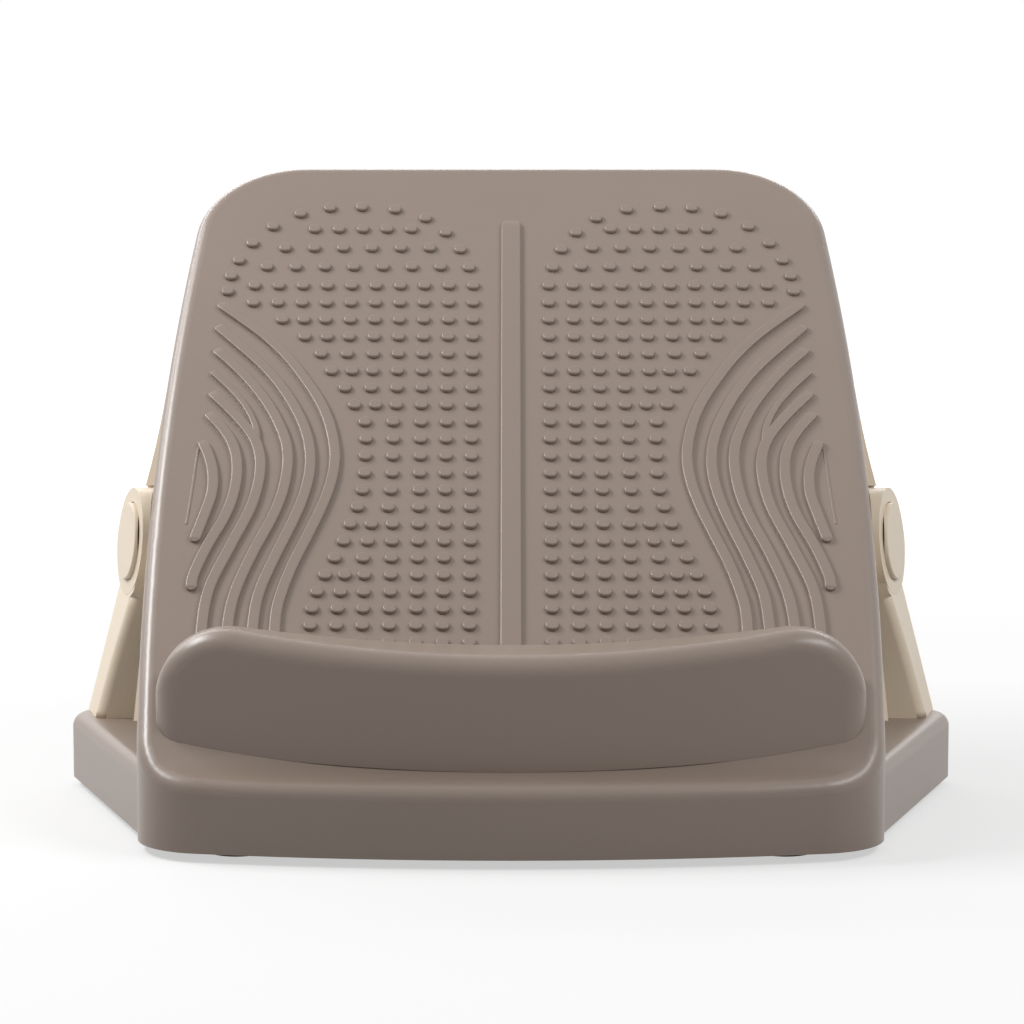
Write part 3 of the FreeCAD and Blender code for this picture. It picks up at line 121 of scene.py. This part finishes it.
finishes = {
    "taupePlastic": {
        "slot": "taupe_plastic", "light": colour(0.318, 0.25, 0.208), "dark": colour(0.286, 0.22, 0.18),
        "rough": 0.34, "specular": 0.55, "coat": 0.08, "grain": 0.016, "grainScale": 2600.0},
    "creamPlastic": {
        "slot": "cream_plastic", "light": colour(0.83, 0.71, 0.55), "dark": colour(0.8, 0.67, 0.505),
        "rough": 0.4, "specular": 0.35, "coat": 0.06, "grain": 0.008, "grainScale": 2600.0},
    "greyPlastic": {
        "slot": "grey_plastic", "light": grey(0.44), "dark": grey(0.4),
        "rough": 0.5, "specular": 0.5, "coat": 0.0, "grain": 0.01, "grainScale": 2200.0},
    "darkRubber": {
        "slot": "dark_rubber", "light": colour(0.07, 0.058, 0.05), "dark": colour(0.048, 0.041, 0.036),
        "rough": 0.78, "specular": 0.4, "coat": 0.0, "grain": 0.05, "grainScale": 1500.0},
    "frictionLining": {
        "slot": "friction_lining", "light": colour(0.62, 0.52, 0.38), "dark": colour(0.48, 0.39, 0.27),
        "rough": 0.85, "specular": 0.3, "coat": 0.0, "grain": 0.08, "grainScale": 1800.0},
}
moulding = {
    "flowScale": 14.0, "flowDetail": 3.0, "flowRoughness": 0.55, "flowInTone": 0.75, "flowInGloss": 0.1,
    "speckScale": 420.0, "speckDetail": 2.0, "speckInTone": 0.25, "speckInGloss": 0.06,
    "grainDetail": 1.0, "grainStrength": 0.5, "coatRoughness": 0.3,
}


def paintFinish(name, finish):
    # flow marks and specks vary the tone and the gloss a little, and a fine grain is raised
    material, graph, place = paintTree(name)
    flow = graph.add("ShaderNodeTexNoise", {}, {
        "Vector": place, "Scale": moulding["flowScale"], "Detail": moulding["flowDetail"],
        "Roughness": moulding["flowRoughness"]})
    speck = graph.add("ShaderNodeTexNoise", {}, {
        "Vector": place, "Scale": moulding["speckScale"], "Detail": moulding["speckDetail"]})
    grain = graph.add("ShaderNodeTexNoise", {}, {
        "Vector": place, "Scale": finish["grainScale"], "Detail": moulding["grainDetail"]})
    share = flow * moulding["flowInTone"] + speck * moulding["speckInTone"]
    tone = toneBetween(graph, share, finish["dark"], finish["light"])
    bump = graph.add("ShaderNodeBump", {}, {
        "Strength": moulding["grainStrength"], "Distance": finish["grain"] * mm, "Height": grain})
    smoothest = finish["rough"] - (moulding["flowInGloss"] + moulding["speckInGloss"]) / 2
    gloss = flow * moulding["flowInGloss"] + speck * moulding["speckInGloss"] + smoothest
    shader = graph.add("ShaderNodeBsdfPrincipled", {}, {
        "Base Color": tone, "Roughness": gloss, "Normal": bump, "Coat Weight": finish["coat"],
        "Coat Roughness": moulding["coatRoughness"], "Specular IOR Level": finish["specular"]})
    graph.add("ShaderNodeOutputMaterial", {}, {"Surface": shader})
    return material


# zinc-plated steel

zinc = {
    "light": colour(0.68, 0.68, 0.67), "dark": colour(0.46, 0.46, 0.47),
    "rough": 0.24, "cloudInGloss": 0.2, "cloudScale": 260.0, "cloudDetail": 4.0,
    "scratchScale": 1900.0, "scratchDetail": 2.0, "scratchStrength": 0.4, "scratchDepth": 0.01,
}


def paintSteel():
    # clouded plating with a fine scratched grain
    material, graph, place = paintTree("zincSteel")
    cloud = graph.add("ShaderNodeTexNoise", {}, {
        "Vector": place, "Scale": zinc["cloudScale"], "Detail": zinc["cloudDetail"]})
    scratch = graph.add("ShaderNodeTexNoise", {}, {
        "Vector": place, "Scale": zinc["scratchScale"], "Detail": zinc["scratchDetail"]})
    tone = toneBetween(graph, cloud, zinc["dark"], zinc["light"])
    bump = graph.add("ShaderNodeBump", {}, {
        "Strength": zinc["scratchStrength"], "Distance": zinc["scratchDepth"] * mm, "Height": scratch})
    gloss = cloud * zinc["cloudInGloss"] + zinc["rough"]
    shader = graph.add("ShaderNodeBsdfPrincipled", {}, {
        "Base Color": tone, "Metallic": 1.0, "Roughness": gloss, "Normal": bump})
    graph.add("ShaderNodeOutputMaterial", {}, {"Surface": shader})
    return material


paints = {finish["slot"]: paintFinish(name, finish) for name, finish in finishes.items()}
paints["steel"] = paintSteel()
slotOf = {row["node"]: row["material_slot"] for row in frame["record"]["subparts"]}
print("materials made")


# the moulded pieces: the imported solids, welded and softened at their edges

softened = {  # how wide the sharp edges of each piece are rounded, in millimetres
    "tread_shell": 0.0, "heel_stop": 0.0, "base_shell": 0.5, "bottom_cover": 0.4,
    "side_rail_right": 0.5, "side_rail_left": 0.5, "tie_bar": 0.3,
    "leg_outer_shell_right": 0.9, "leg_outer_shell_left": 0.9,
    "leg_inner_shell_right": 0.5, "leg_inner_shell_left": 0.5,
    "release_button_right": 0.0, "release_button_left": 0.0,
    "rubber_foot_front_right": 0.4, "rubber_foot_front_left": 0.4,
    "rubber_foot_rear_right": 0.4, "rubber_foot_rear_left": 0.4,
}
softening = {"weld": 0.002, "flatAngle": 0.2, "sharpAngle": 30, "segments": 3, "profile": 0.5}
legFront = {"chamfer": 4.2, "segments": 6, "below": 92, "foot": 34.5, "outward": 0.8, "forward": 0.7}
bodyOf = {node: body for body, members in frame["record"]["behaviour"]["bodies"].items()
          for node in members}


def facingApart(edge, facing):
    # the angle between the true surfaces on both sides of an edge
    here, there = edge.link_loops
    first = here[facing].angle(there.link_loop_next[facing], 0)
    second = here.link_loop_next[facing].angle(there[facing], 0)
    return min(first, second)


def roundEdges(shape, facing, edges, width, segments, limited=True):
    # rounds the edges; the new faces turn from one neighbour's direction to the other's
    made = set(bmesh.ops.bevel(
        shape, geom=edges, offset=width * mm, offset_type="OFFSET", segments=segments,
        profile=softening["profile"], affect="EDGES", clamp_overlap=limited)["faces"])
    shape.normal_update()
    for face in made:
        for loop in face.loops:
            beside = [other for other in loop.vert.link_loops if other.face not in made]
            loop[facing] = beside[0][facing] if beside else loop.vert.normal


def allBelow(edge, height):
    return all(vert.co.z < height * mm for vert in edge.verts)


def isLegFront(edge, facing, side):
    # between the outer face of a leg and its hollow front
    ways = [loop[facing] for loop in edge.link_loops]
    outward = max(way.x * side for way in ways)
    forward = max(-way.y for way in ways)
    facesBoth = outward > legFront["outward"] and forward > legFront["forward"]
    return facesBoth and allBelow(edge, legFront["below"])


def isLegFoot(edge, node):
    # where a leg stands on the base
    return "leg_outer" in node and allBelow(edge, legFront["foot"])


def softenedCopy(node, width):
    # the node's shape welded into one skin, its sharp edges rounded by width, shaded as its true surfaces lie
    mesh = nodes[node].data.copy()
    mesh.name = "soft_" + node
    layer = mesh.attributes.new("facing", "FLOAT_VECTOR", "CORNER")
    layer.data.foreach_set("vector", [part for corner in mesh.corner_normals for part in corner.vector])
    shape = bmesh.new()
    shape.from_mesh(mesh)
    facing = shape.loops.layers.float_vector["facing"]
    bmesh.ops.remove_doubles(shape, verts=shape.verts, dist=softening["weld"] * mm)
    if width:
        flatAngle = math.radians(softening["flatAngle"])
        bmesh.ops.dissolve_limit(shape, angle_limit=flatAngle, verts=shape.verts, edges=shape.edges)
        if "leg_outer" in node:
            side = 1 if node.endswith("right") else -1
            front = [edge for edge in shape.edges
                     if len(edge.link_loops) == 2 and isLegFront(edge, facing, side)]
            roundEdges(shape, facing, front, legFront["chamfer"], legFront["segments"], limited=False)
        sharpAngle = math.radians(softening["sharpAngle"])
        sharp = [edge for edge in shape.edges if len(edge.link_loops) == 2
                 and facingApart(edge, facing) > sharpAngle and not isLegFoot(edge, node)]
        roundEdges(shape, facing, sharp, width, softening["segments"])
    shape.to_mesh(mesh)
    shape.free()
    mesh.polygons.foreach_set("use_smooth", [True] * len(mesh.polygons))
    mesh.normals_split_custom_set([corner.vector for corner in mesh.attributes["facing"].data])
    mesh.attributes.remove(mesh.attributes["facing"])
    mesh.materials.clear()
    mesh.materials.append(paints[slotOf[node]])
    piece = bpy.data.objects.new("soft_" + node, mesh)
    scene.collection.objects.link(piece)
    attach(piece, bodyOf[node])
    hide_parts(node)
    return piece


for node, width in softened.items():
    softenedCopy(node, width)

# each button spring: a welded copy with a mesh of its own, left as it is
for name, side in (("right", 1), ("left", -1)):
    coil = softenedCopy("button_spring_" + name, 0.0)
    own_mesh(coil)

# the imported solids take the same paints
for name, node in nodes.items():
    node.data.materials.clear()
    node.data.materials.append(paints[slotOf[name]])
print("moulded pieces softened:", len(softened))


# the tread's relief lies in its own plane: out from the middle, along the slope, above the skin

tread = {"length": 417.4, "tilt": 37, "rim": 15, "ledgeDepth": 22, "ledgeHeight": 36}
tilt = math.radians(tread["tilt"])
wholeDepth = tread["ledgeDepth"] + tread["length"] * math.cos(tilt) + tread["rim"] * math.sin(tilt)
slopeStart = Vector((0, tread["ledgeDepth"] - wholeDepth / 2, tread["ledgeHeight"])) * mm


def growTree(name, numbers):
    # a geometry tree with a geometry, the named numbers and a material going in
    tree = bpy.data.node_groups.new(name, "GeometryNodeTree")
    tree.interface.new_socket("Geometry", in_out="INPUT", socket_type="NodeSocketGeometry")
    kinds = {label: "NodeSocketFloat" for label in numbers}
    kinds["Material"] = "NodeSocketMaterial"
    identifiers = {}
    for label, kind in kinds.items():
        identifiers[label] = tree.interface.new_socket(label, in_out="INPUT", socket_type=kind).identifier
    tree.interface.new_socket("Geometry", in_out="OUTPUT", socket_type="NodeSocketGeometry")
    graph = Graph(tree)
    entry = tree.nodes.new("NodeGroupInput")
    inputs = {socket.name: Wire(graph, socket) for socket in entry.outputs if socket.name}
    return graph, inputs, identifiers


def grown(name, source, graph, identifiers, values, body):
    # runs the tree on the source and keeps the result as a plain mesh
    source.data.materials.append(values["Material"])
    modifier = source.modifiers.new(name, "NODES")
    modifier.node_group = graph.tree
    for label, value in values.items():
        modifier[identifiers[label]] = value
    scene.collection.objects.link(source)
    bpy.context.view_layer.update()
    evaluated = source.evaluated_get(bpy.context.evaluated_depsgraph_get())
    mesh = bpy.data.meshes.new_from_object(evaluated)
    mesh.name = name
    sums = [Vector() for vertex in mesh.vertices]  # flat tops stay flat, small faces round their edges
    for face in mesh.polygons:
        for corner in face.vertices:
            sums[corner] += face.normal * face.area
    mesh.normals_split_custom_set_from_vertices([total.normalized() for total in sums])
    source.modifiers.remove(modifier)
    bpy.data.objects.remove(source)
    piece = bpy.data.objects.new(name, mesh)
    scene.collection.objects.link(piece)
    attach(piece, body)
    return piece


def finishTree(graph, geometry, inputs):
    # lays the geometry on the slope, makes it real and gives it its material
    laid = graph.add("GeometryNodeTransform", {}, {
        "Geometry": geometry, "Translation": slopeStart, "Rotation": (tilt, 0, 0)})
    real = graph.add("GeometryNodeRealizeInstances", {}, {"Geometry": laid})
    smooth = graph.add("GeometryNodeSetShadeSmooth", {}, {"Geometry": real})
    dressed = graph.add("GeometryNodeSetMaterial", {}, {"Geometry": smooth, "Material": inputs["Material"]})
    graph.add("NodeGroupOutput", {}, {"Geometry": dressed})


# massage studs: flat-topped pebbles, turned from rings
# a place on the tread is (out from the middle, along the slope), in millimetres

studs = {
    "radius": 3.15, "height": 1.7, "sides": 16, "weld": 0.001,
    "rows": 22, "firstRow": 78.8, "rowPitch": 10.35, "growth": 0.12,  # each pitch grows by that much
    "firstColumn": 18.4, "columnPitch": 11.9,
    "squeeze": 0.55,  # a row too short by this part of a pitch still takes one stud more
}
studRings = (  # shares of the radius and of the height, from the foot to the flat top
    (1.04, -0.3), (1.0, 0.4), (0.97, 0.68), (0.91, 0.88), (0.83, 0.98), (0.74, 1.0),
)
soleEdge = (
    (89.2, 60), (89.2, 90), (88.8, 100.5), (86.8, 111), (83.5, 121.5), (79.5, 132.5), (76, 143), (73.3, 154),
    (70.2, 165.5), (68.3, 177), (67.8, 188), (67.8, 211), (68.3, 222), (74, 235), (79.3, 248), (86.2, 260),
    (91.2, 271.5), (99.3, 283.5), (110.7, 296), (125.4, 308.5), (125.4, 340),
)
toeArch = (
    (138.3, 317), (137.3, 328.5), (134, 340.5), (128, 353.5), (118.4, 366.5), (105.2, 376.5), (90.6, 381),
    (74.7, 381.7), (58, 379.8), (42.6, 373), (32.4, 361.8), (25, 348.8), (20.6, 335),
)
toeRows = (
    (364.6, (49.6, 61.6, 73.6, 85.6, 97.6)),
    (350, (40.2, 54.5, 68.8, 83, 97.3, 111.6)),
    (335.6, (34.6, 48.8, 63, 77.3, 91.5, 105.8, 120)),
)


def edgeOut(along):
    # how far out the outermost stud of a row lies
    for (outA, alongA), (outB, alongB) in zip(soleEdge, soleEdge[1:]):
        if along <= alongB:
            break
    return outA + (outB - outA) * (along - alongA) / (alongB - alongA)


def studPlaces():
    # the toes, then straight inner columns, with the last two studs of a row following the sole's edge
    places = list(toeArch)
    for along, outs in toeRows:
        places.extend((out, along) for out in outs)
    first, pitch = studs["firstColumn"], studs["columnPitch"]
    for row in range(studs["rows"]):
        along = studs["firstRow"] + row * studs["rowPitch"] + row * (row - 1) / 2 * studs["growth"]
        outermost = edgeOut(along)
        gaps = int((outermost - first) / pitch + studs["squeeze"])
        columns = [first + pitch * column for column in range(gaps - 1)]
        columns += [(columns[-1] + outermost) / 2, outermost]
        places.extend((out, along) for out in columns)
    return places


def studDisc(graph, inputs, wide, high):
    # closes a stud above or below
    disc = graph.add("GeometryNodeMeshCircle", {"fill_type": "NGON"}, {
        "Vertices": studs["sides"], "Radius": inputs["Stud radius"] * wide})
    lift = graph.add("ShaderNodeCombineXYZ", {}, {"Z": inputs["Stud height"] * high})
    return graph.add("GeometryNodeTransform", {}, {"Geometry": disc, "Translation": lift})


graph, inputs, identifiers = growTree("studTree", ("Stud radius", "Stud height"))
rings = []
for (wideA, highA), (wideB, highB) in zip(studRings, studRings[1:]):
    cone = graph.add("GeometryNodeMeshCone", {"fill_type": "NONE"}, {
        "Vertices": studs["sides"], "Radius Top": inputs["Stud radius"] * wideB,
        "Radius Bottom": inputs["Stud radius"] * wideA, "Depth": inputs["Stud height"] * (highB - highA)})
    lift = graph.add("ShaderNodeCombineXYZ", {}, {"Z": inputs["Stud height"] * highA})
    rings.append(graph.add("GeometryNodeTransform", {}, {"Geometry": cone, "Translation": lift}))
rings.append(studDisc(graph, inputs, *studRings[-1]))
underside = studDisc(graph, inputs, *studRings[0])
rings.append(graph.add("GeometryNodeFlipFaces", {}, {"Mesh": underside}))
stack = graph.add("GeometryNodeJoinGeometry", {}, {"Geometry": rings})
pebble = graph.add("GeometryNodeMergeByDistance", {}, {"Geometry": stack, "Distance": studs["weld"] * mm})
strewn = graph.add("GeometryNodeInstanceOnPoints", {}, {"Points": inputs["Geometry"], "Instance": pebble})
finishTree(graph, strewn, inputs)

studMesh = bpy.data.meshes.new("studPlaces")
studPoints = [(side * out * mm, along * mm, 0) for out, along in studPlaces() for side in (1, -1)]
studMesh.from_pydata(studPoints, [], [])
studPiece = grown("massage_studs", bpy.data.objects.new("studPlaces", studMesh), graph, identifiers,
                  {"Stud radius": studs["radius"] * mm, "Stud height": studs["height"] * mm,
                   "Material": paints["taupe_plastic"]}, "tread")
print("studs:", len(studMesh.vertices))


# arch ridges and the bar between the feet: a rounded section led along each line

ridges = {"width": 5.2, "height": 1.9, "rounding": 0.7, "roundingCuts": 4}
fork = {"width": 3.2, "heightShare": 0.95}
crease = {"width": 1.2, "height": 0.35, "roundingShare": 0.9}
bar = {"width": 9.5, "start": 62.4, "end": 371.5}
lineSteps = {"parts": 24, "step": 2.5, "endStep": 0.35, "thinnest": 0.05}
tiny = 1e-9
ridgeLines = (
    ((104.4, 60), (104.7, 94), (103.4, 106), (98.8, 126), (92.8, 145), (86.7, 165), (83, 182), (81.9, 197),
     (83.3, 211), (86.4, 225), (91.1, 238), (97.4, 251), (106.1, 266.5), (116.6, 281),
     (128.1, 293.5), (142.1, 307.5)),
    ((114.7, 60), (114.5, 90), (112.9, 109), (106.8, 132), (99.7, 155), (95.4, 172), (93.3, 188), (93.7, 202),
     (96.1, 215), (100.7, 229), (108.1, 245), (117.6, 260.5), (129.6, 275.7), (142.3, 291)),
    ((125.8, 60), (125.7, 90), (123.7, 109), (117.1, 134), (109.4, 157), (105.3, 174), (103.7, 192),
     (104.8, 206), (108.4, 219), (114.6, 234), (123.1, 249), (132.1, 262), (142.5, 274.5)),
    ((136.6, 60), (137.1, 92), (135.1, 113), (127.3, 139), (119.1, 165), (116.3, 186), (117.3, 201),
     (121.3, 213), (128.6, 225), (135.1, 234), (142.5, 243.4)),
    ((143.4, 111), (143.1, 119), (138.1, 138), (130.4, 160), (127.2, 178), (127.4, 195), (130.5, 208),
     (135.9, 218.5), (143.1, 228.6)),
    ((144.1, 142), (140.1, 160.5), (137.8, 173), (138, 186), (140.6, 198.5), (144.6, 209.5)),
)
forkLine = ((119, 205), (118.8, 211), (120, 219), (124.8, 232), (132.4, 244.5), (142.8, 257.8))
creaseLine = ((148.4, 154), (147.6, 168), (146.9, 182), (146.4, 196), (145.8, 206))
barLine = ((0, bar["start"]), (0, bar["end"]))


def smoothLine(corners):
    # many points on a smooth line through the corners
    points = [Vector(corner) for corner in corners]
    slopes = []
    for index in range(len(points)):
        before = points[max(index - 1, 0)]
        after = points[min(index + 1, len(points) - 1)]
        slopes.append((after - before) / max((after - before).length, tiny))
    fine = []
    count = lineSteps["parts"]
    for index in range(len(points) - 1):
        start, finish = points[index], points[index + 1]
        reach = (finish - start).length
        leave, arrive = slopes[index] * reach, slopes[index + 1] * reach
        isLast = index == len(points) - 2
        for part in range(count + isLast):
            share = part / count
            square, cube = share ** 2, share ** 3
            fine.append(start * (2 * cube - 3 * square + 1) + leave * (cube - 2 * square + share)
                        + finish * (3 * square - 2 * cube) + arrive * (cube - square))
    return fine


def smoothPlaces(corners):
    # places about a step apart on the smooth line, closer near its ends, with the ways to both ends
    fine = smoothLine(corners)
    run = [0]
    for index in range(1, len(fine)):
        run.append(run[-1] + (fine[index] - fine[index - 1]).length)
    wanted = []
    ahead = 0
    nearEnd = ridges["width"] / 2
    while ahead < run[-1]:
        wanted.append(ahead)
        isNear = min(ahead, run[-1] - ahead) < nearEnd
        ahead += lineSteps["endStep"] if isNear else lineSteps["step"]
    wanted.append(run[-1])
    places = []
    index = 0
    for distance in wanted:
        while index < len(run) - 2 and run[index + 1] < distance:
            index += 1
        share = (distance - run[index]) / max(run[index + 1] - run[index], tiny)
        places.append((fine[index].lerp(fine[index + 1], min(share, 1)), distance, run[-1] - distance))
    return places


graph, inputs, identifiers = growTree("ridgeTree", ("Ridge width", "Ridge height", "Rounding"))
upright = graph.add("GeometryNodeSetCurveNormal", {"mode": "Z_UP"}, {"Curve": inputs["Geometry"]})
oblong = graph.add("GeometryNodeCurvePrimitiveQuadrilateral", {}, {
    "Width": inputs["Ridge width"], "Height": inputs["Ridge height"] * 2})
section = graph.add("GeometryNodeFilletCurve", {"mode": "POLY"}, {
    "Curve": oblong, "Count": ridges["roundingCuts"], "Radius": inputs["Rounding"], "Limit Radius": True})
thinned = graph.add("GeometryNodeInputRadius")
band = graph.add("GeometryNodeCurveToMesh", {}, {
    "Curve": upright, "Profile Curve": section, "Scale": thinned, "Fill Caps": True})
finishTree(graph, band, inputs)


def bandCurve(name, lines, width, sides):
    # flat lines in the tread's plane, thinned at their ends so that the band ends round
    data = bpy.data.curves.new(name, "CURVE")
    data.dimensions = "3D"
    for line in lines:
        places = smoothPlaces(line)
        for side in sides:
            spline = data.splines.new("POLY")
            spline.points.add(len(places) - 1)
            for point, (place, behind, ahead) in zip(spline.points, places):
                point.co = (side * place.x * mm, place.y * mm, 0, 1)
                nearest = min(min(behind, ahead) / (width / 2), 1)
                point.radius = max(lineSteps["thinnest"], math.sqrt(1 - (1 - nearest) ** 2))
    return bpy.data.objects.new(name, data)


bands = (
    {"name": "arch_ridges", "lines": ridgeLines, "sides": (1, -1),
     "width": ridges["width"], "height": ridges["height"], "rounding": ridges["rounding"]},
    {"name": "ridge_forks", "lines": (forkLine,), "sides": (1, -1), "width": fork["width"],
     "height": ridges["height"] * fork["heightShare"], "rounding": ridges["rounding"]},
    {"name": "arch_creases", "lines": (creaseLine,), "sides": (1, -1), "width": crease["width"],
     "height": crease["height"], "rounding": crease["height"] * crease["roundingShare"]},
    {"name": "middle_bar", "lines": (barLine,), "sides": (1,),
     "width": bar["width"], "height": ridges["height"], "rounding": ridges["rounding"]},
)
for each in bands:
    curve = bandCurve(each["name"] + "_lines", each["lines"], each["width"], each["sides"])
    piece = grown(each["name"], curve, graph, identifiers, {
        "Ridge width": each["width"] * mm, "Ridge height": each["height"] * mm,
        "Rounding": each["rounding"] * mm, "Material": paints["taupe_plastic"]}, "tread")
print("ridges and bar laid")


# floor: grey to the lamps, brightened where it is seen, more so far from the footrest

stage = {
    "reach": 14.0, "nearEnd": 0.45, "farStart": 1.6,  # metres
    "floorGrey": 0.42, "nearGlow": 0.55, "farGlow": 0.95, "worldLight": 0.23, "worldSeen": 1.0,
}


def whereSeen(graph):
    # 1 for the camera's own rays and for those that glossy and clear surfaces send on
    camera, glossy, clear = [graph.add("ShaderNodeLightPath", output=ray) for ray in (
        "Is Camera Ray", "Is Glossy Ray", "Is Transmission Ray")]
    return camera + glossy + clear


reach = stage["reach"]
corners = [(-reach, -reach, 0), (reach, -reach, 0), (reach, reach, 0), (-reach, reach, 0)]
floorMesh = bpy.data.meshes.new("floor")
floorMesh.from_pydata(corners, [], [(0, 1, 2, 3)])
floor = bpy.data.objects.new("floor", floorMesh)
scene.collection.objects.link(floor)
floorPaint, graph, place = paintTree("paleFloor")
matte = graph.add("ShaderNodeBsdfDiffuse", {}, {"Color": grey(stage["floorGrey"])})
away = graph.add("ShaderNodeVectorMath", {"operation": "LENGTH"}, {0: place}, output="Value")
spread = graph.add("ShaderNodeMapRange", {"interpolation_type": "SMOOTHSTEP"}, {
    "Value": away, "From Min": stage["nearEnd"], "From Max": stage["farStart"],
    "To Min": stage["nearGlow"], "To Max": stage["farGlow"]})
brightness = graph.add("ShaderNodeCombineColor", {}, {"Red": spread, "Green": spread, "Blue": spread})
glow = graph.add("ShaderNodeEmission", {}, {"Color": brightness, "Strength": whereSeen(graph)})
both = graph.add("ShaderNodeAddShader", {}, {0: matte, 1: glow})
graph.add("ShaderNodeOutputMaterial", {}, {"Surface": both})
floorMesh.materials.append(floorPaint)


# light: a dim world that is seen as white, and three lamps

world = bpy.data.worlds.new("studio")
scene.world = world
world.use_nodes = True
graph = Graph(world.node_tree)
lit = graph.add("ShaderNodeBackground", {}, {"Color": grey(1), "Strength": stage["worldLight"]})
white = graph.add("ShaderNodeBackground", {}, {"Color": grey(1), "Strength": stage["worldSeen"]})
seen = graph.add("ShaderNodeClamp", {}, {"Value": whereSeen(graph)})
mixed = graph.add("ShaderNodeMixShader", {}, {0: seen, 1: lit, 2: white})
graph.add("ShaderNodeOutputWorld", {}, {"Surface": mixed})

lamps = (
    {"name": "leftKey", "wide": 0.35, "long": 1.0, "power": 20,
     "place": (-1.15, 0.2, 1.3), "aim": (0, 0, 0.1)},
    {"name": "rightFill", "wide": 0.4, "long": 1.2, "power": 11,
     "place": (1.1, -0.5, 1.3), "aim": (0, 0, 0.1)},
    {"name": "backSoftbox", "wide": 0.35, "long": 3.2, "power": 16,
     "place": (-0.4, 1.6, 1.05), "aim": (0, 0, 0.15)},
)
for lamp in lamps:
    light = bpy.data.lights.new(lamp["name"], "AREA")
    light.shape = "RECTANGLE"
    light.size = lamp["long"]
    light.size_y = lamp["wide"]
    light.energy = lamp["power"]
    holder = bpy.data.objects.new(lamp["name"], light)
    holder.location = lamp["place"]
    toAim = Vector(lamp["aim"]) - Vector(lamp["place"])
    holder.rotation_euler = toAim.to_track_quat("-Z", "Y").to_euler()
    scene.collection.objects.link(holder)


# camera

view = {"lens": 129.4, "sensor": 36, "place": (0, -1.7054, 0.3393), "pitch": 83, "shift": 0.001}
camera = bpy.data.cameras.new("camera")
camera.lens = view["lens"]
camera.sensor_width = view["sensor"]
camera.shift_x = view["shift"]
cameraHolder = bpy.data.objects.new("camera", camera)
cameraHolder.location = view["place"]
cameraHolder.rotation_euler = (math.radians(view["pitch"]), 0, 0)
scene.collection.objects.link(cameraHolder)
scene.camera = cameraHolder
scene.view_settings.view_transform = "Standard"
print("stage set")
